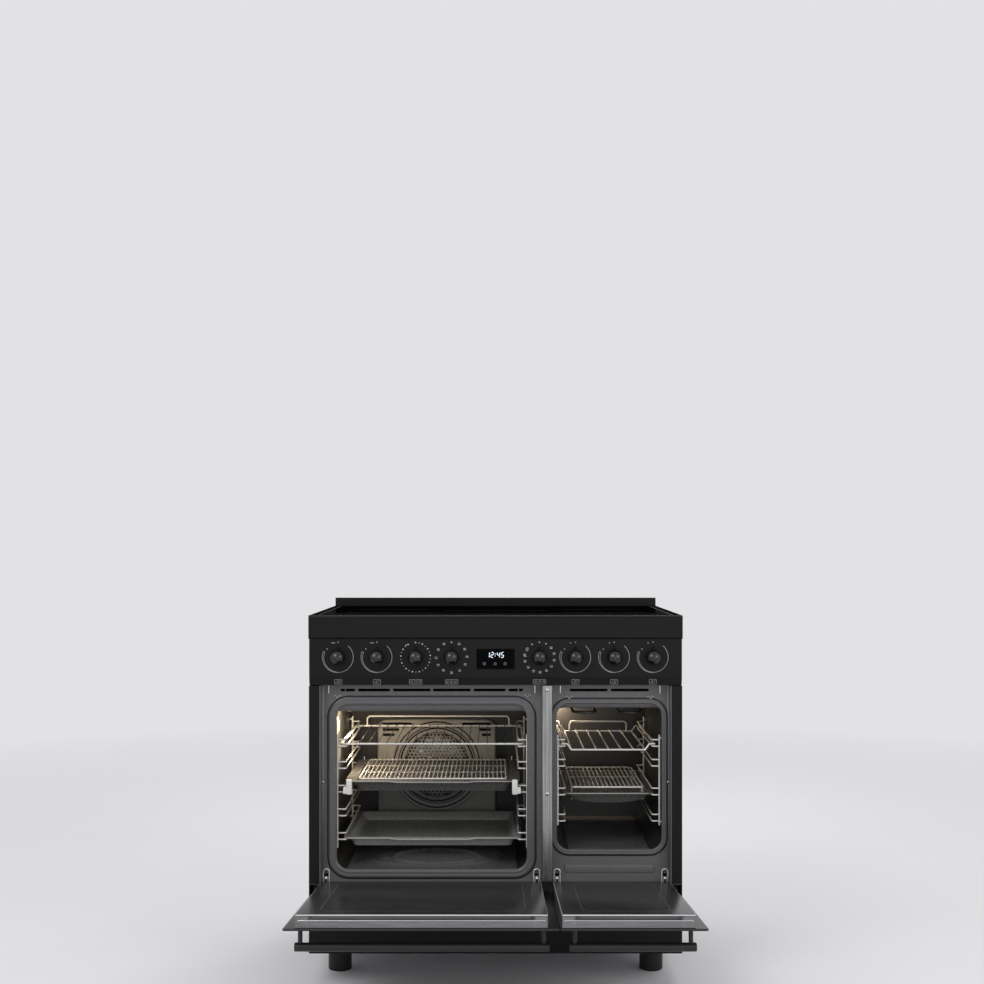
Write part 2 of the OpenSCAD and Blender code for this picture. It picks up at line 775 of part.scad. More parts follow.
// A ball knob on its collar, with a pointer at the top and its spindle behind
module knob(x) {
    y1 = panel_y - seat_gap;
    y0 = y1 - knob_collar_t;
    ball_y = y0 - knob_r * 0.6;
    color("#303034") {
        translate([x, y1, knob_z]) rotate([90, 0, 0]) cylinder(h = knob_collar_t, r = knob_collar_r);
        difference() {
            translate([x, ball_y, knob_z]) sphere(knob_r);
            block(x - 30, x + 30, y0 + 1.5, y0 + 40, knob_z - 30, knob_z + 30);
        }
        translate([x, y1 - 0.5, knob_z]) rotate([90, 0, 0]) linear_extrude(knob_collar_t + 3) polygon([
            [-pointer_w / 2, knob_collar_r * 0.7], [pointer_w / 2, knob_collar_r * 0.7],
            [0.6, pointer_reach], [-0.6, pointer_reach]
        ]);
        translate([x, panel_back + switch_d - 6, knob_z]) rotate([90, 0, 0])
            cylinder(h = switch_d - 6 + panel_t + 2, r = spindle_r);
    }
}

module knob_1() { knob(knob_x[0]); }
module knob_2() { knob(knob_x[1]); }
module knob_3() { knob(knob_x[2]); }
module knob_4() { knob(knob_x[3]); }
module knob_5() { knob(knob_x[4]); }
module knob_6() { knob(knob_x[5]); }
module knob_7() { knob(knob_x[6]); }
module knob_8() { knob(knob_x[7]); }

// ---- doors ----

function hinge_places() = [
    left_door[2] + hinge_inset, left_door[3] - hinge_inset,
    right_door[2] + hinge_inset, right_door[3] - hinge_inset
];

// Outer panel of a door
module door_panel(d) {
    open_pose() upright((d[0] + d[1]) / 2, (skin_z + door_top) / 2, d[1] - d[0], door_h, 4, front_y, front_y + skin_t);
}

// Inner frame of a door with its vent slot and hinge ears
module door_frame(d) {
    z0 = pivot_z + frame_lift;
    z1 = door_top - frame_drop;
    y0 = front_y + skin_t;
    y1 = front_y + door_t - pane_t;
    w = frame_w;
    ear = arm_t / 2 + hinge_gap;
    open_pose() difference() {
        union() {
            difference() {
                block(d[2], d[3], y0, y1, z0, z1);
                block(d[2] + w, d[3] - w, y0 - overlap, y1 + overlap, z0 + w, z1 - w);
                block(d[2] + w, d[3] - w, y1 - vent_w, y1 + overlap, z1 - vent_deep, z1 + overlap);
            }
            for (x = [d[2] + hinge_inset, d[3] - hinge_inset], s = [-1, 1])
                translate([x + s * (ear + ear_t / 2), 0, 0]) hinge_ear(y0 + 8, z0);
        }
        for (x = [d[2] + hinge_inset, d[3] - hinge_inset]) {
            wire_x(x - 20, x + 20, pivot_y, pivot_z, pin_r + shaft_gap);
            block(x - ear, x + ear, y1 - 14, y1 + overlap, z0 - overlap, z0 + 4);
        }
    }
}

// One ear: a plate from the frame down and back to the hinge line
module hinge_ear(y0, z0) {
    block(-ear_t / 2, ear_t / 2, y0, pivot_y, pivot_z - arm_half, pivot_z + arm_half);
    block(-ear_t / 2, ear_t / 2, y0, front_y + door_t - pane_t - 2, pivot_z - arm_half, z0 + 2);
    wire_x(-ear_t / 2, ear_t / 2, pivot_y, pivot_z, arm_half);
}

// Inner pane against the frame, and a middle pane held inside it
module door_panes(d) {
    z0 = pivot_z + frame_lift;
    z1 = door_top - frame_drop;
    y1 = front_y + door_t - pane_t;
    w = frame_w + seat_gap;
    mid = front_y + skin_t + 10;
    open_pose() {
        upright((d[2] + d[3]) / 2, (z0 + z1) / 2, d[3] - d[2], z1 - z0, 3, y1, front_y + door_t);
        block(d[2] + w, d[3] - w, mid, mid + 3, z0 + w, z1 - w);
    }
}

// Round bar on two posts
module door_handle(d) {
    x0 = d[0] + bar_inset;
    x1 = d[1] - bar_inset;
    z = door_top - bar_drop;
    y = front_y - bar_reach;
    edge = 1.5;
    open_pose() {
        wire_x(x0 + edge, x1 - edge, y, z, bar_r);
        translate([x0, y, z]) rotate([0, 90, 0]) cylinder(h = edge, r1 = bar_r - edge, r2 = bar_r);
        translate([x1 - edge, y, z]) rotate([0, 90, 0]) cylinder(h = edge, r1 = bar_r, r2 = bar_r - edge);
        for (x = [x0 + post_inset, x1 - post_inset]) wire_y(x, y, front_y, z, post_r);
    }
}

module left_door_panel() { color("#1c1c1f") door_panel(left_door); }
module left_door_frame() { color("#9a9a9e") door_frame(left_door); }
module left_door_panes() { color("#3c4043") door_panes(left_door); }
module left_door_handle() { color("#222226") door_handle(left_door); }
module right_door_panel() { color("#1c1c1f") door_panel(right_door); }
module right_door_frame() { color("#9a9a9e") door_frame(right_door); }
module right_door_panes() { color("#3c4043") door_panes(right_door); }
module right_door_handle() { color("#222226") door_handle(right_door); }

// Fixed hinge arms with their pins, screwed to the wall of the hinge pocket
module hinge_arms() {
    pin_half = arm_t / 2 + hinge_gap + ear_t + 0.5;
    color("silver") for (x = hinge_places()) {
        wire_x(x - arm_t / 2, x + arm_t / 2, pivot_y, pivot_z, arm_half);
        block(x - arm_t / 2, x + arm_t / 2, pivot_y, pocket_y, pivot_z - arm_half, pivot_z + arm_half);
        block(x - arm_t / 2 - 5, x + arm_t / 2 + 5, pocket_y - 3, pocket_y, pivot_z - 28, pivot_z + arm_half);
        wire_x(x - pin_half, x + pin_half, pivot_y, pivot_z, pin_r);
    }
}

// ---- racks ----

// One runner wire: out from the upright, back along the cavity and in again
module runner(x_wall, x_in, z) {
    b = 5;
    for (y = [rack_y0, rack_y1]) wire_x(x_in + b, x_wall, y, z, wire_r);
    bend(x_in + b, rack_y0 + b, z, b, wire_r, 180);
    bend(x_in + b, rack_y1 - b, z, b, wire_r, 90);
    wire_y(x_in, rack_y0 + b, rack_y1 - b, z, wire_r);
}

// The right-hand ladder of a pair, about the middle of its cavity
module side_rack(half, x_in, levels, z0, z1) {
    x = half - upright_off;
    for (y = [rack_y0, rack_y1]) {
        wire_z(x, y, z0, z1, upright_r);
        for (z = [z0 + 8, z1 - 8]) wire_x(x, half, y, z, wire_r + 0.2);
    }
    for (z = levels) {
        runner(x, x_in, z);
        runner(x, x_in, z + runner_gap);
    }
}

module side_rack_pair(cx, half, x_in, levels, z0, z1) {
    translate([cx, 0, 0]) {
        side_rack(half, x_in, levels, z0, z1);
        mirror([1, 0, 0]) side_rack(half, x_in, levels, z0, z1);
    }
}

module main_side_racks() {
    color("gainsboro") side_rack_pair(main_cx, main_half, main_runner_x, main_levels,
        main_levels[0] - 20, main_levels[4] + runner_gap + 14);
}

module second_side_racks() {
    color("gainsboro") side_rack_pair(second_cx, second_half, second_runner_x, second_levels,
        second_levels[0] - 10, second_levels[3] + runner_gap + 12);
}

// Rails clipped beside the third level's wires
module guide_outer_rails() {
    color("silver") translate([main_cx, 0, 0]) for (s = [-1, 1]) mirror([s < 0 ? 1 : 0, 0, 0])
        block(outer_rail_x - outer_rail_t, outer_rail_x, rack_y0 + 2, rack_y1 - 12, guide_z, guide_z + guide_h);
}

// Sliding rails with a pale end block in front and a peg at the back
module guide_inner_rails() {
    color("whitesmoke") translate([main_cx, 0, 0]) for (s = [-1, 1]) mirror([s < 0 ? 1 : 0, 0, 0]) {
        block(inner_rail_x - inner_rail_t, inner_rail_x, rack_y0 - 4, rack_y1 - 14, guide_z + guide_lift, guide_top);
        block(inner_rail_x - inner_rail_t, outer_rail_x + 8, rack_y0 - 4 - block_d, rack_y0 - 4,
            guide_top - block_h + 6, guide_top + 6);
        wire_z(inner_rail_x - inner_rail_t / 2, rack_y1 - 20, guide_top - 2, guide_top + 12, 2.4);
    }
}

// A wire shelf: side rails, cross rails, thin wires along it and a stop at the rear
module wire_shelf(cx, half, z, wires, y0, y1, stop_half) {
    translate([cx, 0, 0]) {
        for (y = [y0, y1]) wire_x(-half, half, y, z, rail_r);
        for (s = [-1, 1]) wire_y(s * (half - rail_r), y0, y1, z, rail_r - 0.1);
        pitch = 2 * half / (wires + 1);
        for (i = [1:wires]) wire_y(-half + i * pitch, y0, y1, z + rail_r - 0.6, thin_r);
        for (s = [-1, 1]) wire_z(s * stop_half, y1, z, z + rear_stop_h, rail_r - 0.2);
        wire_x(-stop_half - rail_r + 0.2, stop_half + rail_r - 0.2, y1, z + rear_stop_h, rail_r - 0.2);
    }
}

module wire_rack() {
    z = main_levels[4] + wire_r + rail_r + seat_gap;
    half = main_half - upright_off - upright_r - 3;
    color("gainsboro") wire_shelf(main_cx, min(half, main_w / 2 - 4), z, 19, rack_y0 + 8, rack_y1 - 8,
        main_runner_x - wire_r - 17);
}

// A tray: a rim that rides on the runners round a well
module tray(cx, half, well_half, z, depth, y0, y1) {
    r = 12;
    cy = (y0 + y1) / 2;
    rim = 14;
    t = tray_t;
    well_w = 2 * well_half;
    well_d = y1 - y0 - 2 * rim;
    difference() {
        union() {
            flat_plate(cx, cy, 2 * half, y1 - y0, r, z, z + t);
            flat_plate(cx, cy, well_w, well_d, r, z - depth, z + t);
        }
        flat_plate(cx, cy, well_w - 2 * t, well_d - 2 * t, r - t, z - depth + t, z + t + overlap);
    }
}

// The upper tray sits on the sliding rails, between their end blocks and pegs
guided_tray_z = guide_top + seat_gap;
guided_well_half = inner_rail_x - inner_rail_t - 4;
module guided_tray() {
    color("#6e6e72") difference() {
        tray(main_cx, main_runner_x + 4, guided_well_half, guided_tray_z, tray_depth, rack_y0 - 3, rack_y1 - 12);
        translate([main_cx, 0, 0]) for (s = [-1, 1])
            wire_z(s * (inner_rail_x - inner_rail_t / 2), rack_y1 - 20, guide_top - 2, guide_top + 12, 2.8);
    }
}

// A grid of wires that stands in a tray's well
module tray_grid(cx, half, z, y0, y1, wires, leg) {
    translate([cx, 0, 0]) {
        for (y = [y0, y1]) wire_x(-half, half, y, z, rail_r);
        pitch = 2 * half / (wires + 1);
        for (i = [1:wires]) wire_y(-half + i * pitch, y0, y1, z + rail_r - 0.6, thin_r);
        for (s = [-1, 1]) wire_y(s * (half - rail_r), y0, y1, z, rail_r - 0.1);
        for (s = [-1, 1], y = [y0 + 30, y1 - 30]) wire_z(s * (half - rail_r), y, z - leg, z, rail_r - 0.4);
    }
}

module guided_tray_grid() {
    floor_z = guided_tray_z - tray_depth + tray_t;
    z = guided_tray_z + 3;
    color("gainsboro") tray_grid(main_cx, guided_well_half - 8, z, rack_y0 + 20, rack_y1 - 36, 25,
        z - floor_z - seat_gap);
}

module baking_tray() {
    z = main_levels[0] + wire_r + seat_gap;
    color("#6e6e72") tray(main_cx, main_runner_x + 8, main_runner_x - wire_r - 10, z, tray_depth - 4,
        rack_y0 + 4, rack_y1 - 6);
}

// Shelf that hangs below its runners from four cranked corners
module dropped_shelf() {
    z = second_levels[3] + wire_r + rail_r + seat_gap;
    low = z - shelf_dip;
    half = second_runner_x - wire_r - 6;
    out = second_runner_x + 6;
    y0 = rack_y0 + 8;
    y1 = rack_y1 - 8;
    color("gainsboro") {
        wire_shelf(second_cx, half, low, 5, y0, y1, half - 22);
        translate([second_cx, 0, 0]) for (s = [-1, 1]) {
            for (y = [y0, y1]) {
                wire_z(s * (half - rail_r), y, low, z + 0.5, rail_r - 0.3);
                wire_x(s < 0 ? -out : half - rail_r, s < 0 ? rail_r - half : out, y, z, rail_r - 0.2);
            }
            wire_y(s * out, y0, y1, z, rail_r);
        }
    }
}

second_tray_z = second_levels[1] + wire_r + seat_gap;
second_well_half = second_runner_x - wire_r - 8;
module second_tray() {
    color("#6e6e72") tray(second_cx, second_runner_x + 6, second_well_half, second_tray_z, tray_depth,
        rack_y0 + 4, rack_y1 - 6);
}

module second_tray_grid() {
    floor_z = second_tray_z - tray_depth + tray_t;
    z = second_tray_z + 12;
    color("gainsboro") tray_grid(second_cx, second_well_half - 6, z, rack_y0 + 26, rack_y1 - 28, 15,
        z - floor_z - seat_gap);
}

// ---- fans and heat ----

// Cover over the oven fan, with rings of holes before the wheel and slots along the top
module fan_cover() {
    y1 = main_back - seat_gap;
    y0 = y1 - cover_d;
    cz = fan_z - cover_drop;
    top = cz + cover_h / 2;
    long_slot_x = cover_w * 0.363;
    long_slot_w = 84;
    short_slot_x = cover_w * 0.4;
    short_slot_w = 20;
    color("#6a6a6e") difference() {
        upright(fan_x, cz, cover_w, cover_h, 20, y0, y1);
        upright(fan_x, cz, cover_w - 3, cover_h - 3, 18.5, y0 + 1.5, y1 + overlap);
        for (ring = [1:4], i = [0:ring * 6 - 1])
            translate([fan_x, y0 - overlap, fan_z]) rotate([0, i * 60 / ring, 0])
                wire_y(ring * 17, 0, 2 * overlap + 1.5, 0, 5);
        for (s = [-1, 1]) {
            block(fan_x + s * long_slot_x - long_slot_w / 2, fan_x + s * long_slot_x + long_slot_w / 2,
                y0 - overlap, y0 + 3, top - 20, top - 13);
            block(fan_x + s * short_slot_x - short_slot_w / 2, fan_x + s * short_slot_x + short_slot_w / 2,
                y0 - overlap, y0 + 3, top - 80, top - 74);
        }
    }
}

// Round heating element behind the cover, its two ends going back through the wall
module ring_element() {
    y = main_back - 13;
    color("dimgray") {
        translate([fan_x, y, fan_z]) rotate([90, 0, 0]) rotate([0, 0, 99.2]) rotate_extrude(angle = 341.6)
            translate([ring_r, 0]) circle(element_r);
        for (s = [-1, 1]) wire_y(fan_x + s * 14, y - element_r, main_back + cavity_t + 18, fan_z + ring_r, element_r - 0.3);
    }
}

// Motor on the outside of the main cavity's back wall
module fan_motor() {
    y0 = main_back + cavity_t;
    color("silver") difference() {
        union() {
            upright(fan_x, fan_z, 110, 90, 8, y0, y0 + 3);
            translate([fan_x, y0, fan_z]) rotate([-90, 0, 0]) cylinder(h = 58, r = 34);
        }
        translate([fan_x, y0 - overlap, fan_z]) rotate([-90, 0, 0]) cylinder(h = 46, r = fan_shaft_r + shaft_gap);
    }
}

// Fan wheel: a back disc with blades, a hub and its shaft
module oven_fan() {
    y0 = main_back - fan_front;
    blades = 10;
    color("silver") translate([fan_x, y0, fan_z]) rotate([-90, 0, 0]) {
        translate([0, 0, 13]) cylinder(h = 1.5, r = fan_r);
        for (i = [0:blades - 1]) rotate([0, 0, i * 360 / blades]) translate([20, -0.75, 0])
            cube([fan_r - 22, 1.5, 13.5]);
        translate([0, 0, 2]) cylinder(h = 13, r = 10);
        cylinder(h = 62, r = fan_shaft_r);
    }
}

// Grill elements: hairpins hung under the second oven's ceiling
module grill_element() {
    z = grill_z;
    y1 = second_back;
    y0 = face_y + 45;
    span = grill_span;
    hook_w = 10;
    color("gainsboro") translate([second_cx, 0, 0]) {
        for (i = [-3:3]) if (i % 2 != 0) wire_y(i * span, y0 + span, y1 + (abs(i) == 3 ? 20 : -60), z, element_r);
        for (i = [-2, 2]) translate([i * span, y0 + span, z]) rotate([0, 0, 180]) rotate_extrude(angle = 180)
            translate([span, 0]) circle(element_r);
        translate([0, y1 - 60, z]) rotate_extrude(angle = 180) translate([span, 0]) circle(element_r);
        for (i = [-3, 3], y = [y0 + 60, y1 - 80]) block(i * span - 1, i * span + 1, y - hook_w / 2, y + hook_w / 2,
            z + 1, second_z + second_h);
    }
}

// Lamps in the left wall of each cavity: a lens inside and a holder outside
module lamp(x_wall, z) {
    wire_x(x_wall, x_wall + 6, lamp_y, z, lamp_r);
    wire_x(x_wall - cavity_t - 12, x_wall, lamp_y, z, lamp_r - 4 - seat_gap);
}

module oven_lamps() {
    color("lightyellow") {
        lamp(main_cx - main_half, main_lamp_z);
        lamp(second_cx - second_half, second_lamp_z);
    }
}

// Housing of the cooling blower, over a flat duct that ends at the face
module blower_housing() {
    r = blower_r + 4;
    half = blower_l / 2 + 4;
    x0 = main_x0 + 20;
    x1 = main_x1 - 20;
    y1 = blower_y + r + 2;
    color("silver") difference() {
        union() {
            block(x0, x1, face_back, y1, duct_z, duct_z + duct_h);
            wire_x(blower_x - half, blower_x + half, blower_y, blower_z, r + 2);
            block(blower_x - half, blower_x + half, blower_y - r - 2, blower_y + r + 2, duct_z + duct_h - overlap, blower_z);
        }
        block(x0 + sheet, x1 - sheet, face_back - overlap, y1 - sheet, duct_z + sheet, duct_z + duct_h - sheet);
        wire_x(blower_x - half + 2, blower_x + half - 2, blower_y, blower_z, r);
        block(blower_x - half + 2, blower_x + half - 2, blower_y - r, blower_y, duct_z + duct_h - sheet - overlap, blower_z);
        block(blower_x - half + 2, blower_x + half - 2, blower_y + 8, blower_y + r + 4, blower_z - 8, blower_z + 8);
        wire_x(blower_x - half - overlap, blower_x + half + overlap, blower_y, blower_z, fan_shaft_r + shaft_gap);
    }
}

// Squirrel-cage wheel of the blower on its shaft
module blower_wheel() {
    half = blower_l / 2;
    blades = 14;
    color("gainsboro") translate([blower_x, blower_y, blower_z]) rotate([0, 90, 0]) {
        for (z = [-half, half - 2]) translate([0, 0, z]) cylinder(h = 2, r = blower_r);
        for (i = [0:blades - 1]) rotate([0, 0, i * 360 / blades]) translate([blower_r - 9, -0.6, -half + 1])
            cube([8, 1.2, blower_l - 2]);
        translate([0, 0, -half - 5]) cylinder(h = blower_l + 10, r = fan_shaft_r);
    }
}

// ---- services ----

module gland_place() {
    translate([overall_w / 2 - 140, back_y, foot_h + 90]) rotate([-90, 0, 0]) children();
}

// Cable gland: a collar outside the cover and a nut inside
module cable_gland() {
    color("#202020") gland_place() difference() {
        union() {
            translate([0, 0, -16]) cylinder(h = 16 - sheet, r = gland_r);
            translate([0, 0, -16]) cylinder(h = 16, r = gland_r - 4 - seat_gap);
        }
        translate([0, 0, -20]) cylinder(h = 30, r = gland_bore_r);
    }
}

// Terminal block on the base, near the gland
module terminal_block() {
    x = overall_w / 2 - 140;
    color("ivory") difference() {
        block(x - 35, x + 35, back_y - 75, back_y - 45, foot_h + 2, foot_h + 42);
        for (i = [-2:2]) translate([x + i * 12, back_y - 60, foot_h + 30]) cylinder(h = 20, r = 3);
    }
}

base_frame();
side_panel_left();
side_panel_right();
back_cover();
lower_front_panel();
feet();
face_frame();
main_cavity();
second_cavity();
oven_seals();
centre_column();
insulation();
hob_frame();
hob_glass();
hob_tray();
induction_coils();
upstand();
control_panel();
display_window();
control_switches();
circuit_boards();
fan_cover();
ring_element();
fan_motor();
oven_fan();
grill_element();
oven_lamps();
main_side_racks();
second_side_racks();
guide_outer_rails();
guide_inner_rails();
wire_rack();
guided_tray();
guided_tray_grid();
baking_tray();
dropped_shelf();
second_tray();
second_tray_grid();
left_door_panel();
left_door_frame();
left_door_panes();
left_door_handle();
right_door_panel();
right_door_frame();
right_door_panes();
right_door_handle();
hinge_arms();
blower_housing();
blower_wheel();
terminal_block();
cable_gland();
face_screws();
knob_1();
knob_2();
knob_3();
knob_4();
knob_5();
knob_6();
knob_7();
knob_8();
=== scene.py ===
# %% [markdown]
# # Range cooker with two ovens, doors open
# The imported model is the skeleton: casing, doors on their hinges, knobs, trays and racks at their real
# size. This file dresses it. Each step first says what the piece is on a real cooker, how it could be
# made and why it is made this way, and then makes it. Every shape is a surface worked out with numpy.

# %% Load the frame
import json

import bmesh
import bpy
import numpy as np
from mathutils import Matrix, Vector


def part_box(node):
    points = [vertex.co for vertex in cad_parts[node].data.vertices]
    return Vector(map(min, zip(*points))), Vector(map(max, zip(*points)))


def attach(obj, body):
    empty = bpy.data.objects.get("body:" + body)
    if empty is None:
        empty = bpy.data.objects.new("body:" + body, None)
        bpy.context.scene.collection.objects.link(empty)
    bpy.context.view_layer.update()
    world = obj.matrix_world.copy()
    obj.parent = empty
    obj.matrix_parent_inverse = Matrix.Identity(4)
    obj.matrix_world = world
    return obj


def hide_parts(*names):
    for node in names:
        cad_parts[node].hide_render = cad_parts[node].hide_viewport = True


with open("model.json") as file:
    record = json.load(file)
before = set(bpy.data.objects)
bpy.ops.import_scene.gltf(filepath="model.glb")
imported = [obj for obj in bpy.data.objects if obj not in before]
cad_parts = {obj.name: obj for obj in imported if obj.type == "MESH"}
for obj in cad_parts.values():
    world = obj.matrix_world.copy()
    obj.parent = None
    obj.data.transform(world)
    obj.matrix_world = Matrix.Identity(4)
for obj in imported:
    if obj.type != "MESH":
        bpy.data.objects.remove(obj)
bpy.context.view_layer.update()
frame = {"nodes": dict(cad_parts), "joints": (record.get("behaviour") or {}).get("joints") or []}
MM = 0.001
NODES = frame["nodes"]
JOINTS = {j["name"]: j for j in frame["joints"]}


def span(node):
    """Lowest and highest corner of a CAD node, in millimetres."""
    low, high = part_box(node)
    return np.array(low) / MM, np.array(high) / MM


# %% [markdown]
# ## Camera, floor and light
# A cooker is photographed from straight in front, a little above the hob, with a normal lens, so that
# the upright edges stay upright. The camera is level and the picture is moved up with the lens shift,
# as on a view camera. The floor is pale and matt, and it fades into the room far away. The room is a
# pale world with four large soft lamps, kept at a level at which a colour comes out as it is written.

# %% Camera
APRON_Y = span("hob_frame")[0][1]
CAMERA_STAND_OFF = 3347.0
CAMERA_HEIGHT = 1054.0
scene = bpy.context.scene
scene.view_settings.view_transform = "Standard"
camera_data = bpy.data.cameras.new("camera")
camera_data.lens = 51.07
camera_data.sensor_width = 36.0
camera_data.shift_x = -0.0036
camera_data.shift_y = 0.0562
camera_data.clip_end = 50.0
camera = bpy.data.objects.new("camera", camera_data)
camera.location = np.array([0.0, APRON_Y - CAMERA_STAND_OFF, CAMERA_HEIGHT]) * MM
camera.rotation_euler = (np.pi / 2, 0.0, 0.0)
scene.collection.objects.link(camera)
scene.camera = camera
print("camera at", tuple(round(v, 3) for v in camera.location))


# %% Node helpers
def linear(*rgb):
    """A colour written as 0 to 255 screen values, in the linear light that shaders use."""
    v = np.array(rgb, float) / 255.0
    low = v / 12.92
    high = ((v + 0.055) / 1.055) ** 2.4
    return tuple(np.where(v <= 0.04045, low, high)) + (1.0,)


def add(tree, kind, **settings):
    """A node in the tree. A setting that names an input fills it, and any other is a property."""
    node = tree.nodes.new(kind)
    for name, value in settings.items():
        label = name.replace("_", " ")
        if label in node.inputs:
            socket = node.inputs[label]
            if isinstance(value, bpy.types.NodeSocket):
                tree.links.new(value, socket)
            else:
                socket.default_value = value
        else:
            setattr(node, name, value)
    return node


# %% World: a pale, even room
ROOM_TONE = (226, 226, 228)
world = bpy.data.worlds.new("studio")
scene.world = world
world.use_nodes = True
tree = world.node_tree
background = tree.nodes["Background"]
background.inputs["Color"].default_value = linear(*ROOM_TONE)
rays = add(tree, "ShaderNodeLightPath")
seen = add(tree, "ShaderNodeMath", operation="MAXIMUM")
tree.links.new(rays.outputs["Is Camera Ray"], seen.inputs[0])
tree.links.new(rays.outputs["Is Transmission Ray"], seen.inputs[1])
seen_or_glossy = add(tree, "ShaderNodeMath", operation="MAXIMUM")
tree.links.new(seen.outputs[0], seen_or_glossy.inputs[0])
tree.links.new(rays.outputs["Is Glossy Ray"], seen_or_glossy.inputs[1])
level = add(tree, "ShaderNodeMapRange")
level.inputs["To Min"].default_value = 0.8
level.inputs["To Max"].default_value = 1.0
tree.links.new(seen_or_glossy.outputs[0], level.inputs["Value"])
tree.links.new(level.outputs["Result"], background.inputs["Strength"])
print("world set")


# %% Lamps of the studio
def soft_lamp(name, place, aim, size, watts):
    """A rectangular area lamp at a place, turned to an aim, both in metres."""
    data = bpy.data.lights.new(name, "AREA")
    data.shape = "RECTANGLE"
    data.size, data.size_y = size
    data.energy = watts
    lamp = bpy.data.objects.new(name, data)
    direction = np.array(aim, float) - np.array(place, float)
    lamp.location = place
    flat = np.hypot(direction[0], direction[1])
    lamp.rotation_euler = (np.arctan2(flat, -direction[2]), 0.0, np.arctan2(-direction[0], direction[1]))
    scene.collection.objects.link(lamp)
    return lamp


soft_lamp("key", (-1.8, -2.2, 2.9), (0, 0, 0.5), (1.8, 1.8), 38)
soft_lamp("fill", (2.3, -2.2, 1.9), (0, 0, 0.5), (1.8, 1.8), 22)
soft_lamp("front", (0.3, -3.6, 1.0), (0, 0, 0.45), (1.8, 0.9), 6)
soft_lamp("rear", (0.4, 2.6, 2.6), (0, 0.2, 0.5), (2.0, 1.4), 30)


# %% Lamps inside the ovens
def oven_light(name, place_mm, watts):
    """A small warm lamp where an oven's wall glows; mirrors and gloss don't show it."""
    data = bpy.data.lights.new(name, "POINT")
    data.color = (1.0, 0.80, 0.56)
    data.energy = watts
    data.shadow_soft_size = 0.012
    lamp = bpy.data.objects.new(name, data)
    lamp.location = np.array(place_mm) * MM
    lamp.visible_glossy = False
    scene.collection.objects.link(lamp)


lamps_low, lamps_high = span("oven_lamps")
LAMP_Y = (lamps_low[1] + lamps_high[1]) / 2
MAIN_LAMP_Z = lamps_low[2] + 22
SECOND_LAMP_Z = lamps_high[2] - 22
main_low = span("main_cavity")[0]
second_low, second_high = span("second_cavity")
LINER_T = 1.5
oven_light("main_oven_upper_light", (main_low[0] + LINER_T + 42, LAMP_Y + 50, MAIN_LAMP_Z + 24), 2.9)
oven_light("main_oven_lower_light", (main_low[0] + LINER_T + 26, LAMP_Y + 60, MAIN_LAMP_Z - 74), 1.0)
oven_light("second_oven_light", (second_low[0] + LINER_T + 16, second_high[1] - 34, SECOND_LAMP_Z + 12), 1.6)
tray_x, tray_y = -0.1545, 0.06
tray_fill = soft_lamp("under_tray_fill", (tray_x, tray_y, 0.317), (tray_x, tray_y + 0.00001, 0.2),
                      (0.26, 0.12), 0.065)
tray_fill.visible_glossy = False
print("lamp heights", MAIN_LAMP_Z, SECOND_LAMP_Z)

# %% Floor
floor_mesh = bpy.data.meshes.new("floor")
FLOOR_HALF = 9.0
corners = [(sx * FLOOR_HALF, sy * FLOOR_HALF, 0) for sx, sy in ((-1, -1), (1, -1), (1, 1), (-1, 1))]
floor_mesh.from_pydata(corners, [], [(0, 1, 2, 3)])
floor = bpy.data.objects.new("floor", floor_mesh)
scene.collection.objects.link(floor)
floor_paint = bpy.data.materials.new("floor_paint")
floor_paint.use_nodes = True
tree = floor_paint.node_tree
paint = tree.nodes["Principled BSDF"]
paint.inputs["Roughness"].default_value = 0.9
paint.inputs["Specular IOR Level"].default_value = 0.2
place = add(tree, "ShaderNodeTexCoord")
cloud = add(tree, "ShaderNodeTexNoise", Vector=place.outputs["Object"], Scale=1.3, Detail=4.0)
ramp = add(tree, "ShaderNodeValToRGB", Fac=cloud.outputs["Fac"])
ramp.color_ramp.elements[0].color = linear(228, 228, 230)
ramp.color_ramp.elements[1].color = linear(235, 235, 236)
tree.links.new(ramp.outputs["Color"], paint.inputs["Base Color"])
reach = add(tree, "ShaderNodeVectorMath", operation="LENGTH")
tree.links.new(place.outputs["Object"], reach.inputs[0])
fade = add(tree, "ShaderNodeMapRange", Value=reach.outputs["Value"])
fade.inputs["From Min"].default_value = 1.2
fade.inputs["From Max"].default_value = 5.0
floor_rays = add(tree, "ShaderNodeLightPath")
gate = add(tree, "ShaderNodeMath", operation="MULTIPLY")
tree.links.new(fade.outputs["Result"], gate.inputs[0])
tree.links.new(floor_rays.outputs["Is Camera Ray"], gate.inputs[1])
far = add(tree, "ShaderNodeEmission", Color=linear(*ROOM_TONE), Strength=1.0)
blend = add(tree, "ShaderNodeMixShader")
tree.links.new(gate.outputs[0], blend.inputs[0])
tree.links.new(paint.outputs["BSDF"], blend.inputs[1])
tree.links.new(far.outputs["Emission"], blend.inputs[2])
tree.links.new(blend.outputs["Shader"], tree.nodes["Material Output"].inputs["Surface"])
floor.data.materials.append(floor_paint)
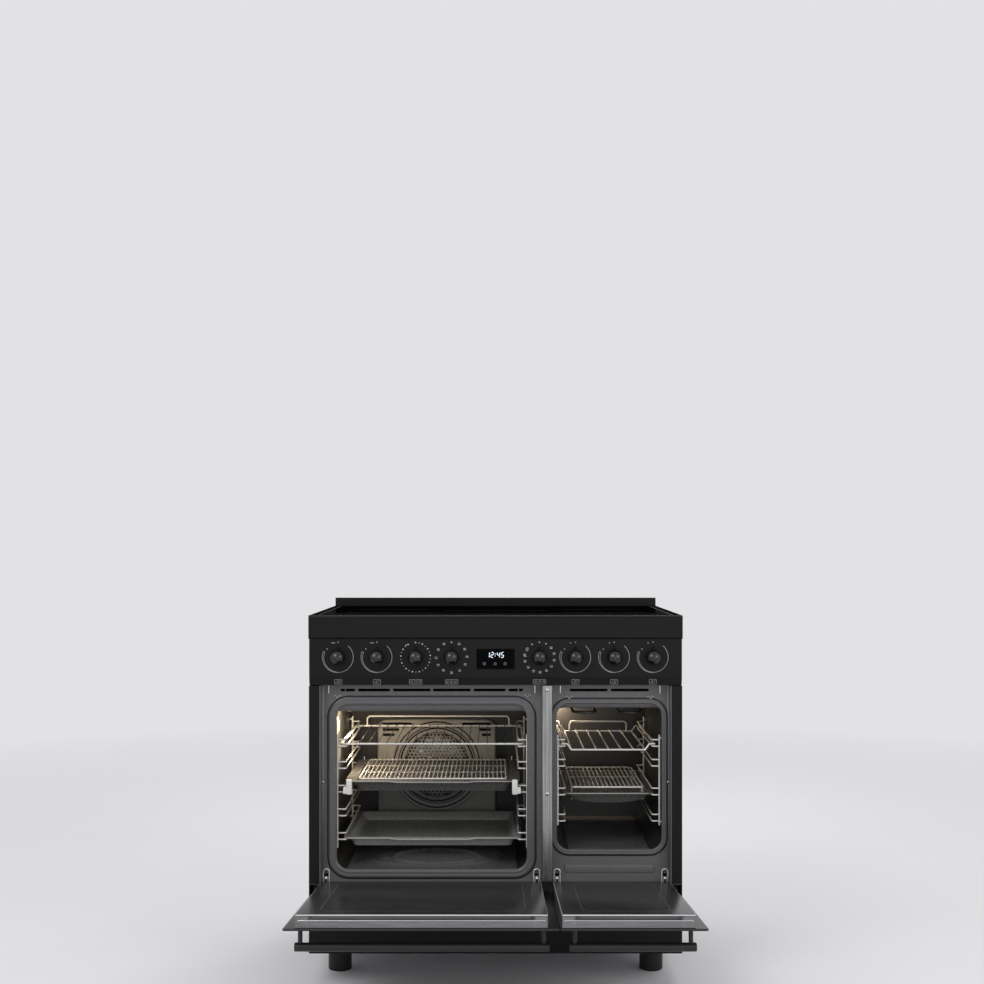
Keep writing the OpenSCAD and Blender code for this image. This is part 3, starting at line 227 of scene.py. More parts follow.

# %% [markdown]
# ## Finishes
# A cooker is made of a few finishes: black enamelled steel outside, grey enamel on the oven face, dark
# enamel with pale flecks in the ovens, bright wire, brushed and galvanised steel, glass and plastic.
# Each could be one flat colour, but then nothing would show its scale. So each finish is a small node
# tree on Object coordinates: a noise that shifts the colour a little and the roughness with it, and a
# bump for the grain. What is the same all over sits on the shader's own sockets.

# %% One finish from its tones, roughness, grain and flecks
def finish(name, tones, rough, grain=300.0, bump=0.0, fleck=None, stretch=(1, 1, 1), **sockets):
    """A metal, enamel or plastic. The colour is a ramp of the tones over a noise whose scale is the
    grain; the roughness runs over the same noise between two values; bump is the height of the grain.
    A fleck is (scale, share, colour): spots where a cell noise is below the share."""
    made = bpy.data.materials.new(name)
    made.use_nodes = True
    tree = made.node_tree
    shader = tree.nodes["Principled BSDF"]
    where = add(tree, "ShaderNodeTexCoord").outputs["Object"]
    run = add(tree, "ShaderNodeMapping", Vector=where, Scale=stretch)
    noise = add(tree, "ShaderNodeTexNoise", Vector=run.outputs["Vector"], Scale=grain, Detail=5.0)
    ramp = add(tree, "ShaderNodeValToRGB", Fac=noise.outputs["Fac"])
    ramp.color_ramp.elements[0].position = 0.3
    ramp.color_ramp.elements[1].position = 0.7
    ramp.color_ramp.elements[0].color = linear(*tones[0])
    ramp.color_ramp.elements[1].color = linear(*tones[1])
    colour = ramp.outputs["Color"]
    if fleck:
        cells = add(tree, "ShaderNodeTexVoronoi", Vector=where, Scale=fleck[0])
        share = add(tree, "ShaderNodeMapRange", Value=cells.outputs["Distance"])
        share.inputs["From Min"].default_value = fleck[1]
        share.inputs["From Max"].default_value = fleck[1] * 0.6
        mix = add(tree, "ShaderNodeMix", data_type="RGBA")
        tree.links.new(share.outputs["Result"], mix.inputs["Factor"])
        tree.links.new(colour, mix.inputs[6])
        mix.inputs[7].default_value = linear(*fleck[2])
        colour = mix.outputs[2]
    tree.links.new(colour, shader.inputs["Base Color"])
    spread = add(tree, "ShaderNodeMapRange", Value=noise.outputs["Fac"])
    spread.inputs["To Min"].default_value = rough[0]
    spread.inputs["To Max"].default_value = rough[1]
    tree.links.new(spread.outputs["Result"], shader.inputs["Roughness"])
    if bump:
        relief = add(tree, "ShaderNodeBump", Height=noise.outputs["Fac"], Strength=0.4, Distance=bump * MM)
        tree.links.new(relief.outputs["Normal"], shader.inputs["Normal"])
    for socket, value in sockets.items():
        shader.inputs[socket.replace("_", " ")].default_value = value
    return made


# %% Enamel, paint and plastic
STEEL_GLOSS = {"Specular_IOR_Level": 0.13, "Coat_Weight": 0.05, "Coat_Roughness": 0.25}
black_steel = finish("black_enamelled_steel", ((17, 17, 18), (21, 21, 22)), (0.34, 0.5), 900, 0.02,
                     **STEEL_GLOSS)
# The upstand wears the black enamel painted lighter: painted light on its front.
upstand_painted_lighter = finish("upstand_enamel_painted_lighter", ((23, 23, 24), (28, 28, 29)), (0.34, 0.5), 900, 0.02,
                       **STEEL_GLOSS)
# Lighter paint on the folded edges: a painted highlight where an edge catches the light.
fold_highlight_paint = finish("painted_highlight_fold", ((46, 46, 48), (58, 58, 60)), (0.34, 0.5), 900, 0.02,
                   Specular_IOR_Level=0.3)
door_skin = finish("door_skin_enamel", ((15, 15, 17), (20, 20, 22)), (0.3, 0.42), 700, 0.02,
                   Specular_IOR_Level=0.25, Coat_Weight=0.1, Coat_Roughness=0.2)
grey_enamel = finish("grey_enamel", ((90, 90, 91), (104, 104, 105)), (0.3, 0.44), 420, 0.03,
                     (900, 0.24, (76, 76, 78)), Specular_IOR_Level=0.4)
dark_enamel = finish("oven_enamel", ((38, 37, 36), (50, 49, 47)), (0.26, 0.38), 260, 0.04,
                     (900, 0.16, (76, 75, 73)), Specular_IOR_Level=0.35)
# Floor enamel: the oven enamel painted about twice as light, as painted light on the oven floors.
floor_painted_lighter = finish("oven_floor_painted_lighter", ((78, 78, 78), (92, 92, 92)), (0.18, 0.3), 260, 0.04,
                      (900, 0.16, (104, 104, 102)), Specular_IOR_Level=0.6)
tray_enamel = finish("tray_enamel", ((84, 84, 82), (96, 95, 93)), (0.22, 0.34), 300, 0.04,
                     (1000, 0.15, (118, 117, 114)), Specular_IOR_Level=0.5)
# The low baking tray wears the tray enamel painted much lighter: painted light where little light reaches.
baking_tray_painted_lighter = finish("baking_tray_enamel_painted_lighter", ((146, 146, 143), (160, 159, 156)), (0.22, 0.34), 300, 0.04,
                       (1000, 0.15, (176, 175, 172)), Specular_IOR_Level=0.5)
# Pale enamel: on the trays' rolled rims a painted highlight along the edge, and the colour of the seal hooks.
pale_enamel_and_rim_highlight = finish("pale_enamel_with_painted_rim_highlight", ((150, 149, 146), (170, 169, 166)), (0.22, 0.34), 500, 0.03,
                    Specular_IOR_Level=0.6)
cover_enamel = finish("fan_cover_enamel", ((120, 118, 114), (134, 132, 128)), (0.24, 0.36), 300, 0.04,
                      (1000, 0.15, (150, 148, 144)), Specular_IOR_Level=0.5)
bead_silicone = finish("seal_silicone", ((84, 84, 86), (100, 100, 102)), (0.2, 0.32), 500, 0.03,
                       Specular_IOR_Level=0.35)
knob_plastic = finish("knob_satin_plastic", ((9, 9, 10), (13, 13, 14)), (0.17, 0.23), 1200, 0.01,
                      Specular_IOR_Level=0.6)
pointer_plastic = finish("knob_pointer_plastic", ((5, 5, 6), (9, 9, 10)), (0.5, 0.6), 1200, 0.02,
                         Specular_IOR_Level=0.1)
black_plastic = finish("black_plastic", ((24, 24, 26), (34, 34, 36)), (0.4, 0.55), 900, 0.04)
foot_plastic = finish("foot_plastic", ((20, 20, 21), (29, 29, 30)), (0.4, 0.55), 500, 0.05,
                      stretch=(1, 1, 0.3), Specular_IOR_Level=0.3)
pale_plastic = finish("pale_plastic", ((208, 208, 204), (226, 226, 222)), (0.4, 0.52), 600, 0.04)
white_ink = finish("printed_white_ink", ((170, 171, 174), (196, 197, 200)), (0.5, 0.62), 1400,
                   Specular_IOR_Level=0.2)
ring_ink = finish("printed_pale_grey_ink", ((132, 133, 135), (152, 153, 155)), (0.5, 0.62), 1400,
                  Specular_IOR_Level=0.2)
faint_ink = finish("printed_faint_ink", ((24, 24, 26), (34, 34, 36)), (0.5, 0.62), 1400,
                   Specular_IOR_Level=0.0)
zone_ink = finish("printed_zone_ink", ((52, 52, 54), (64, 64, 66)), (0.5, 0.62), 1400,
                  Specular_IOR_Level=0.0)
grey_ink = finish("printed_grey_ink", ((70, 71, 74), (92, 93, 96)), (0.45, 0.6), 1400,
                  Specular_IOR_Level=0.2)
# Near black: the rubber seal lines and rims, and painted shade in grooves, slots and screw crosses.
rubber_and_shade_line = finish("dark_rubber_and_painted_shade", ((12, 12, 13), (20, 20, 21)), (0.6, 0.75), 900, 0.03,
                     Specular_IOR_Level=0.2)
mineral_wool = finish("mineral_wool", ((166, 150, 96), (204, 190, 136)), (0.9, 1.0), 260, 0.9,
                      (340, 0.2, (120, 104, 60)), stretch=(1, 0.3, 1), Specular_IOR_Level=0.1)
board_green = finish("circuit_board", ((16, 62, 38), (24, 82, 50)), (0.4, 0.5), 600, 0.05,
                     (420, 0.22, (150, 140, 96)))

# %% Bare metals
stainless = finish("brushed_stainless", ((142, 142, 142), (178, 178, 177)), (0.17, 0.28), 500, 0.05,
                   stretch=(1, 1, 0.02), Metallic=1.0)
chrome_wire = finish("chrome_wire", ((208, 207, 203), (228, 227, 223)), (0.16, 0.26), 400, 0.02,
                     Metallic=0.25, Specular_IOR_Level=0.8)
thin_wire = finish("thin_shelf_wire", ((120, 119, 116), (140, 139, 136)), (0.2, 0.3), 400, 0.02,
                   Metallic=0.8)
galvanised = finish("galvanised_steel", ((112, 114, 117), (146, 148, 151)), (0.36, 0.5), 70, 0.06,
                    (95, 0.42, (134, 137, 141)), Metallic=0.85)
zinc_bright = finish("bright_zinc", ((188, 188, 190), (214, 214, 215)), (0.18, 0.3), 700, 0.04,
                     Metallic=1.0)
copper_winding = finish("copper_winding", ((168, 92, 54), (206, 122, 76)), (0.26, 0.4), 900, 0.1,
                        Metallic=1.0)
dull_element = finish("heated_tube", ((62, 60, 60), (86, 83, 81)), (0.4, 0.52), 500, 0.06, Metallic=0.6)
frame_steel = finish("door_frame_steel", ((106, 106, 108), (126, 126, 128)), (0.34, 0.46), 420, 0.04,
                     stretch=(0.04, 1, 1), Metallic=0.6)
handle_satin = finish("handle_satin_black", ((26, 26, 28), (34, 34, 36)), (0.32, 0.42), 600, 0.02,
                      stretch=(0.05, 1, 1), Specular_IOR_Level=0.35)

# %% Glass
hob_black = finish("hob_glass_black", ((2, 2, 3), (4, 4, 5)), (0.06, 0.09), 60, 0.0,
                   Specular_IOR_Level=0.0, Coat_Weight=0.02, Coat_Roughness=0.05)
rim_black = finish("hob_rim_enamel", ((16, 16, 17), (21, 21, 22)), (0.5, 0.6), 700, 0.02,
                   Specular_IOR_Level=0.0)
door_black = finish("door_glass_dark", ((42, 42, 43), (50, 50, 51)), (0.2, 0.28), 30, 0.0,
                    Specular_IOR_Level=0.16)
window_black = finish("display_black", ((2, 2, 3), (4, 4, 5)), (0.2, 0.26), 80, 0.0,
                      Specular_IOR_Level=0.03)
lamp_lit = finish("lamp_glass_lit", ((255, 236, 200), (255, 246, 222)), (0.1, 0.2), 120, 0.1,
                  Emission_Color=linear(255, 226, 186), Emission_Strength=0.35)
lit_digit = finish("lit_digit", ((214, 226, 236), (236, 244, 250)), (0.4, 0.5), 700, 0.0,
                   Emission_Color=linear(226, 238, 250), Emission_Strength=0.75)
ground_glass = finish("ground_glass_edge", ((196, 202, 200), (216, 222, 220)), (0.4, 0.55), 900, 0.03,
                      Specular_IOR_Level=0.5)
print("finishes", len(bpy.data.materials))

# %% [markdown]
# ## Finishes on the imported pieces
# Every CAD piece whose shape is already right keeps it and only gets its finish: the casing sheets, the
# fans, the boards and so on. The pieces that are built again below hide theirs.

# %% Paint the CAD pieces
PAINT = {
    "galvanised_inside": (galvanised, "base_frame", "back_cover", "blower_housing", "hob_tray", "fan_motor"),
    "black_outside": (black_steel, "side_panel_left", "side_panel_right", "lower_front_panel", "hob_frame",
                      "control_panel"),
    "upstand": (upstand_painted_lighter, "upstand"),
    "grey_face": (grey_enamel, "face_frame", "left_door_frame", "right_door_frame"),
    "dark_ovens": (dark_enamel, "main_cavity", "second_cavity", "fan_cover"),
    "trays": (tray_enamel, "guided_tray", "baking_tray", "second_tray"),
    "wires": (chrome_wire, "main_side_racks", "second_side_racks", "wire_rack", "guided_tray_grid",
              "dropped_shelf", "second_tray_grid"),
    "bright_zinc": (zinc_bright, "hinge_arms", "guide_outer_rails", "guide_inner_rails", "face_screws",
                    "blower_wheel", "oven_fan"),
    "column": (stainless, "centre_column"),
    "heat": (dull_element, "ring_element", "grill_element"),
    "glass_on_top": (hob_black, "hob_glass"),
    "glass_doors": (door_black, "left_door_panes", "right_door_panes"),
    "window": (window_black, "display_window"),
    "skins": (door_skin, "left_door_panel", "right_door_panel", "left_door_handle", "right_door_handle"),
    "rope": (bead_silicone, "oven_seals"),
    "wool": (mineral_wool, "insulation"),
    "windings": (copper_winding, "induction_coils"),
    "boards": (board_green, "circuit_boards"),
    "pale": (pale_plastic, "control_switches", "terminal_block"),
    "lamps": (lamp_lit, "oven_lamps"),
    "feet": (foot_plastic, "feet"),
    "gland": (black_plastic, "cable_gland"),
    "knobs": (knob_plastic,) + tuple(f"knob_{i}" for i in range(1, 9)),
}
painted = 0
for paint, *names in PAINT.values():
    for node_name in names:
        for held in NODES[node_name].material_slots:
            held.material = paint
        painted += 1
print("painted", painted, "of", len(NODES))

# %% [markdown]
# ## Shapes worked out as arrays
# Sheet metal, wire and glass have simple sections, so each piece here is a grid of points: either an
# outline that is offset and moved step by step (a lofted skin), or a round section carried along a path
# (a tube). Whole grids are computed at once and handed to the mesh. Lengths are in millimetres until the
# mesh is made, because a cooker's drawing is in millimetres.

# %% Faces over a grid of points
def grid_faces(rows, cols, close_rows, close_cols):
    """Quads (i, j), (i, j+1), (i+1, j+1), (i+1, j) over the grid; a closed way wraps round to its start."""
    i = np.arange(rows if close_rows else rows - 1)[:, None]
    j = np.arange(cols if close_cols else cols - 1)[None, :]
    i2, j2 = (i + 1) % rows, (j + 1) % cols
    quads = [i * cols + j, i * cols + j2, i2 * cols + j2, i2 * cols + j]
    return np.stack(np.broadcast_arrays(*quads), -1).reshape(-1, 4).tolist()


def loft(rings, loop=False):
    """Skin through closed rings of equal count. As a loop the last ring joins the first, like a picture
    frame; otherwise the first and last rings are closed by one flat face each."""
    rings = np.asarray(rings, float)
    rows, cols, _ = rings.shape
    faces = grid_faces(rows, cols, loop, True)
    if not loop:
        faces += [list(range(cols))[::-1], list(range((rows - 1) * cols, rows * cols))]
    return rings.reshape(-1, 3), faces


# %% Small helpers
def smooth(share):
    """The smooth step s^2 (3 - 2 s) of a share held between 0 and 1."""
    share = np.clip(share, 0, 1)
    return share * share * (3 - 2 * share)


def middle_and_half(low, high):
    """Middle and half size between two corners or two lengths."""
    return (low + high) / 2, (high - low) / 2


def flat_band(inner, outer, front, back):
    """Section of a flat band between two offsets and two depths: a printed line or a thin trim."""
    return [(inner, front), (outer, front), (outer, back), (inner, back)]


# %% Outlines and where they stand
def outline(half_w, half_h, radius, steps=6, side=0):
    """Rounded rectangle: four quarter circles, centre +- (half - radius), angle 0 to 90 degrees each,
    with some extra points shared out evenly along each straight side."""
    radius = max(radius, 0.05)
    turn = np.arange(4)[:, None] * np.pi / 2 + np.linspace(0, np.pi / 2, steps + 1)[None, :]
    middle_u = np.array([1, -1, -1, 1])[:, None] * (half_w - radius)
    middle_v = np.array([1, 1, -1, -1])[:, None] * (half_h - radius)
    arcs = np.stack([middle_u + radius * np.cos(turn), middle_v + radius * np.sin(turn)], -1)
    share = (np.arange(1, side + 1) / (side + 1))[None, :, None]
    sides = arcs[:, -1:] * (1 - share) + np.roll(arcs, -1, 0)[:, :1] * share
    return np.concatenate([arcs, sides], 1).reshape(-1, 2)


def stand(uv, centre, depth, axis):
    """Outline points in space: depth runs along the axis (0 X, 1 Y, 2 Z), u and v along the other two."""
    points = np.empty((len(uv), 3))
    u, v = [a for a in range(3) if a != axis]
    points[:, u] = uv[:, 0] + centre[0]
    points[:, v] = uv[:, 1] + centre[1]
    points[:, axis] = depth
    return points


def steps_of(centre, half, radius, profile, axis, corner=6, side=0):
    """Outlines that shrink by each profile point's inset and stand at its depth."""
    return [stand(outline(half[0] - inset, half[1] - inset, radius - inset, corner, side), centre, depth, axis)
            for inset, depth in profile]


def soft_block(low, high, radius=2.0, edge=1.0, axis=2, steps=3, corner=4):
    """A block with rounded corners and edges: the inset along the axis is edge * (1 - sin a) while the
    depth is edge * (1 - cos a), for a from 0 to 90 degrees at both ends."""
    low, high = np.array(low, float), np.array(high, float)
    u, v = [a for a in range(3) if a != axis]
    turn = np.linspace(0, np.pi / 2, steps + 1)
    inset = edge * (1 - np.sin(turn))
    rise = edge * (1 - np.cos(turn))
    profile = list(zip(inset, low[axis] + rise)) + list(zip(inset[::-1], high[axis] - rise[::-1]))
    middle, half = middle_and_half(low, high)
    return loft(steps_of((middle[u], middle[v]), (half[u], half[v]), radius, profile, axis, corner))


# %% Frames: a closed section carried round a rounded rectangle
def border(centre, half, radius, section, axis, corner=8):
    """Picture frame round a rounded rectangle: each section point is (outward offset, depth)."""
    rings = [stand(outline(half[0] + out, half[1] + out, radius + out, corner), centre, depth, axis)
             for out, depth in section]
    return loft(rings, loop=True)


def bead(width, proud, base, start=0.0, steps=10, dent=0.0):
    """Section of a half-round bead: offset start + width * (1 - cos a) / 2, depth base - proud * sin a
    for a from 0 to 180 degrees, with a flat back. A dent sinks its middle by dent * exp(-(c / 0.35)^2)
    with c the cosine of a, which leaves two soft ridges."""
    turn = np.linspace(0, np.pi, steps + 1)
    out = start + width * (1 - np.cos(turn)) / 2
    depth = base - proud * np.sin(turn) + dent * np.exp(-(np.cos(turn) / 0.35) ** 2)
    return list(zip(out, depth)) + [(start + width, base + 0.4), (start, base + 0.4)]


# %% Wires and tubes along a path
def rounded(corners, radius, steps=5, closed=False):
    """A path through the corners, each corner replaced by an arc: the arc's points turn from one edge's
    direction to the next about a centre on the bisector."""
    corners = np.asarray(corners, float)
    count = len(corners)
    path = []
    for i in range(count):
        here = corners[i]
        if not closed and i in (0, count - 1):
            path.append(here[None, :])
            continue
        back = corners[i - 1] - here
        ahead = corners[(i + 1) % count] - here
        back_len, ahead_len = np.linalg.norm(back), np.linalg.norm(ahead)
        back, ahead = back / back_len, ahead / ahead_len
        angle = np.arccos(np.clip(back @ ahead, -1, 1))
        if angle > np.pi - 1e-3:
            path.append(here[None, :])
            continue
        cut = min(radius / np.tan(angle / 2), back_len * 0.49, ahead_len * 0.49)
        r = cut * np.tan(angle / 2)
        bisector = (back + ahead) / np.linalg.norm(back + ahead)
        middle = here + bisector * r / np.sin(angle / 2)
        start, end = here + back * cut - middle, here + ahead * cut - middle
        share = np.linspace(0, 1, steps + 1)[:, None]
        sweep = np.pi - angle
        arc = (np.sin((1 - share) * sweep) * start + np.sin(share * sweep) * end) / np.sin(sweep)
        path.append(middle + arc)
    return np.vstack(path)


def tube(path, radius, sides=8, closed=False):
    """Round section along a path: point + r (cos a * side + sin a * up), where side and up stand square
    to the path's direction and up leans on the path's own plane, so the section doesn't twist."""
    path = np.asarray(path, float)
    ahead = np.roll(path, -1, 0) - path
    behind = path - np.roll(path, 1, 0)
    if not closed:
        ahead[-1], behind[0] = behind[-1], ahead[0]
    unit = lambda v: v / np.linalg.norm(v, axis=1, keepdims=True)
    direction = unit(unit(ahead) + unit(behind))
    spread = path - path.mean(0)
    plane = np.linalg.svd(spread, full_matrices=True)[2][2]
    if np.abs(direction @ plane).max() > 0.9:
        plane = np.linalg.svd(spread, full_matrices=True)[2][1]
    side = unit(np.cross(direction, plane))
    up = np.cross(direction, side)
    turn = np.linspace(0, 2 * np.pi, sides, endpoint=False)[None, :, None]
    radius = np.broadcast_to(np.asarray(radius, float), len(path))[:, None, None]
    rings = path[:, None, :] + radius * (np.cos(turn) * side[:, None, :] + np.sin(turn) * up[:, None, :])
    return loft(rings, loop=closed)


def bar(start, end, radius, sides=8):
    """A straight wire or rod between two points."""
    return tube(np.array([start, end], float), radius, sides)


def revolve(profile, origin, axis, sides=32):
    """Turned piece: each profile point (radius, distance along the axis) becomes a circle about it."""
    u, v = [a for a in range(3) if a != axis]
    turn = np.linspace(0, 2 * np.pi, sides, endpoint=False)
    profile = np.asarray(profile, float)
    rings = np.empty((len(profile), sides, 3))
    rings[:, :, u] = origin[u] + profile[:, :1] * np.cos(turn)
    rings[:, :, v] = origin[v] + profile[:, :1] * np.sin(turn)
    rings[:, :, axis] = origin[axis] + profile[:, 1:]
    return loft(rings)


# %% From shapes to a piece of the cooker
def piece(name, shapes, paint, body="casing", replaces=(), crease=38):
    """Joins shapes into one mesh in metres, smooth except past the crease angle, and lets it ride."""
    offsets = np.cumsum([0] + [len(p) for p, _ in shapes])
    points = np.vstack([p for p, _ in shapes]) * MM
    faces = [[i + o for i in f] for o, (_, fs) in zip(offsets, shapes) for f in fs]
    mesh = bpy.data.meshes.new(name)
    mesh.from_pydata(points.tolist(), [], faces)
    shell = bmesh.new()
    shell.from_mesh(mesh)
    bmesh.ops.recalc_face_normals(shell, faces=shell.faces)
    shell.to_mesh(mesh)
    shell.free()
    mesh.shade_smooth()
    mesh.set_sharp_from_angle(angle=np.radians(crease))
    mesh.materials.append(paint)
    made = bpy.data.objects.new(name, mesh)
    scene.collection.objects.link(made)
    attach(made, body)
    if replaces:
        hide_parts(*replaces)
    print(name, len(mesh.vertices), "points", len(mesh.polygons), "faces")
    return made


# %% [markdown]
# ## Doors
# Each door is a sandwich: a black outer panel with a window, a steel frame with a vent along its top
# edge, and a dark inner glass. They could be made lying open, but their sizes are known for a closed door,
# so they are made closed and then turned about the hinge line by the angle that the joint gives.

# %% Places on the cooker's front
FRONT = APRON_Y
PANEL_FACE = FRONT + 4
STRIP_FACE = FRONT + 7
OVEN_FACE = FRONT + 40
HINGE = np.array(JOINTS["left_door_hinge"]["pos_m"]) / MM
OPEN = np.radians(JOINTS["left_door_hinge"]["range_deg"][1])
DOOR_LOW, DOOR_HIGH = 221.0, 721.0
DOORS = {"left": (-446.0, 134.0, -419.5, 109.0), "right": (136.0, 446.0, 140.0, 419.5)}
print("hinge line y, z", HINGE[1:], "open by", np.degrees(OPEN))


def opened(shape):
    """Turned about the hinge line: y' = y cos a - z sin a and z' = y sin a + z cos a, from the line."""
    points = np.array(shape[0], float)
    y, z = points[:, 1] - HINGE[1], points[:, 2] - HINGE[2]
    points[:, 1] = HINGE[1] + y * np.cos(OPEN) - z * np.sin(OPEN)
    points[:, 2] = HINGE[2] + y * np.sin(OPEN) + z * np.cos(OPEN)
    return points, shape[1]


def door_piece(side, name, shapes, paint, replaced=()):
    """A piece of one door: made closed, opened about the hinge line, and riding on that door."""
    body = f"{side}_door"
    piece(f"{body}_{name}", [opened(shape) for shape in shapes], paint, body,
          [f"{body}_{node}" for node in replaced])


# %% Outer panels with their windows
WINDOW_INSET, WINDOW_LOW, WINDOW_HIGH, WINDOW_R = 40, 300, 622, 16


def door_outside(left, right):
    """The enamelled panel, 5 mm thick, with softened edges."""
    return soft_block((left + 0.3, FRONT, DOOR_LOW + 0.3), (right - 0.3, FRONT + 5, DOOR_HIGH - 0.4),
                      4, 1.2, axis=1)


def painted_highlight_edge(left, right):
    """The panel's folded edge, 2.6 mm high, in a lighter paint: a painted highlight where the edge catches the
    light.
    """
    middle, half = middle_and_half(np.array([left, DOOR_LOW]), np.array([right, DOOR_HIGH]))
    section = [(-1.0, FRONT + 1.6), (-0.05, FRONT + 1.8), (-0.05, FRONT + 4.2), (-1.0, FRONT + 4.4)]
    return border(middle, half, 4, section, 1)


for side, (x0, x1, f0, f1) in DOORS.items():
    door_piece(side, "skin", [door_outside(x0, x1)], door_skin, ["panel"])
    door_piece(side, "painted_highlight_edge", [painted_highlight_edge(x0, x1)], fold_highlight_paint)
    left, right = f0 + WINDOW_INSET, f1 - WINDOW_INSET
    window = soft_block((left, FRONT - 0.4, WINDOW_LOW), (right, FRONT + 1, WINDOW_HIGH), WINDOW_R, 0.4, axis=1)
    door_piece(side, "window", [window], window_black)
    middle, half = middle_and_half(np.array([left, WINDOW_LOW]), np.array([right, WINDOW_HIGH]))
    edge_line = border(middle, half, WINDOW_R, flat_band(1.2, 2.4, FRONT - 0.5, FRONT + 0.2), 1)
    door_piece(side, "window_line", [edge_line], rubber_and_shade_line)


# %% Frames with a vent that runs out at both ends
FRAME_Y0, FRAME_Y1 = FRONT + 5, FRONT + 30
FRAME_Z0, FRAME_Z1 = 262.0, 717.0
FRAME_W = 24.0
EAR_INSET = 9


def vented_top(left, right):
    """Top member: a section of eight points carried along X. The vent's depth is 12 mm times a smooth
    step that rises over 16 mm from each end, so the slot fades into the metal."""
    x = np.concatenate([[left, left + 14], np.linspace(left + 22, left + 38, 6),
                        np.linspace(right - 38, right - 22, 6), [right - 14, right]])
    vent = 12 * smooth(np.minimum(x - left - 22, right - 22 - x) / 16)
    zero = np.zeros_like(x)
    y0, y1, z0, z1, e = FRAME_Y0, FRAME_Y1, FRAME_Z1 - FRAME_W, FRAME_Z1, 1.2
    y = np.stack([zero + y0, zero + y0, zero + y0 + e, zero + y1 - 9.2, zero + y1 - 8, zero + y1 - 7.6,
                  zero + y1, zero + y1], -1)
    z = np.stack([zero + z0, zero + z1 - e, zero + z1, zero + z1, z1 - np.minimum(e, vent), z1 - vent,
                  z1 - vent, zero + z0], -1)
    return loft(np.stack([np.repeat(x[:, None], 8, 1), y, z], -1))


def hinge_ear(x, thick=3.0):
    """One plate in the YZ plane from the frame down to the hinge line, its end a half circle."""
    turn = np.linspace(-np.pi / 2, np.pi / 2, 9)
    end = np.stack([HINGE[1] + 7 * np.cos(turn), HINGE[2] + 7 * np.sin(turn)], -1)
    plate = np.vstack([[(FRAME_Y0 + 8, HINGE[2] - 7)], end, [(FRAME_Y1 - 2, HINGE[2] + 7),
                       (FRAME_Y1 - 2, FRAME_Z0 + 2), (FRAME_Y0 + 8, FRAME_Z0 + 2)]])
    rings = np.empty((2, len(plate), 3))
    rings[:, :, 0] = x + np.array([[-thick / 2], [thick / 2]])
    rings[:, :, 1:] = plate
    return loft(rings)


for side, (x0, x1, f0, f1) in DOORS.items():
    parts = [vented_top(f0, f1),
             soft_block((f0, FRAME_Y0, FRAME_Z0), (f1, FRAME_Y1, FRAME_Z0 + FRAME_W), 1, 0.8, axis=2)]
    parts += [soft_block((x, FRAME_Y0, FRAME_Z0 + FRAME_W), (x + FRAME_W, FRAME_Y1, FRAME_Z1 - FRAME_W),
                         0.8, 0.1) for x in (f0, f1 - FRAME_W)]
    parts += [hinge_ear(x + s * 3.8) for x in (f0 + EAR_INSET, f1 - EAR_INSET) for s in (-1, 1)]
    door_piece(side, "steel_frame", parts, frame_steel, ["frame"])
    lip_path = [(f0 + 5, FRAME_Y1 - 11, FRAME_Z1 - 0.6), (f0 + 6, FRAME_Y1 - 9, FRAME_Z1 - 0.4),
                (f1 - 6, FRAME_Y1 - 9, FRAME_Z1 - 0.4), (f1 - 5, FRAME_Y1 - 11, FRAME_Z1 - 0.6)]
    door_piece(side, "bright_lip", [tube(rounded(lip_path, 1.2, 3), 1.1, 10)], zinc_bright)

# %% Inner glass, its ground edge and the printed line
PANE_Y0, PANE_Y1 = FRONT + 30, FRONT + 34
MIDDLE_PANE_INSET = 24.3
for side, (x0, x1, f0, f1) in DOORS.items():
    panes = [soft_block((f0, PANE_Y0, FRAME_Z0), (f1, PANE_Y1, FRAME_Z1), 3, 0.9, axis=1),
             soft_block((f0 + MIDDLE_PANE_INSET, FRONT + 15, FRAME_Z0 + MIDDLE_PANE_INSET),
                        (f1 - MIDDLE_PANE_INSET, FRONT + 18, FRAME_Z1 - MIDDLE_PANE_INSET), 2, 0.5, axis=1)]
    door_piece(side, "glass", panes, door_black, ["panes"])
    middle, half = middle_and_half(np.array([f0, FRAME_Z0]), np.array([f1, FRAME_Z1]))
    line = border(middle, half - (46, 40), 26, flat_band(0, 1.6, PANE_Y1 - 0.05, PANE_Y1 + 0.08), 1)
    door_piece(side, "printed_line", [line], grey_ink)
    edge = border(middle, half - 0.4, 3,
                  [(0, PANE_Y1 - 3.2), (0.8, PANE_Y1 - 3.0), (0.8, PANE_Y1 - 0.8), (0, PANE_Y1 - 0.6)], 1)
    door_piece(side, "ground_edge", [edge], ground_glass)

# %% [markdown]
# ## Handles
# A handle is a turned bar on two posts. Both are profiles turned round an axis: the bar has a small
# radius at its ends, and each post swells into a foot where it is screwed to the door.

# %% Bars and posts
BAR_R, POST_R = 9.5, 5.0
BAR_Y, BAR_Z = FRONT - 41.0, DOOR_HIGH - 45.0


def handle(x0, x1):
    """Bar: radius 9.5 with quarter-round ends. Post: radius 5, growing to 8 at the door over 5 mm."""
    turn = np.linspace(0, np.pi / 2, 5)
    start = np.stack([BAR_R - 2.2 * (1 - np.sin(turn)), 2.2 * (1 - np.cos(turn))], -1)
    end = np.stack([start[::-1, 0], x1 - x0 - start[::-1, 1]], -1)
    shapes = [revolve(np.vstack([start, end]), (x0, BAR_Y, BAR_Z), 0, 32)]
    post = [(POST_R - 1, 0), (POST_R, 4), (POST_R, 35), (POST_R + 0.8, 37.5), (POST_R + 2.6, 39.4),
            (POST_R + 3, 40.8)]
    return shapes + [revolve(post, (x, BAR_Y, BAR_Z), 1, 20) for x in (x0 + 12, x1 - 12)]


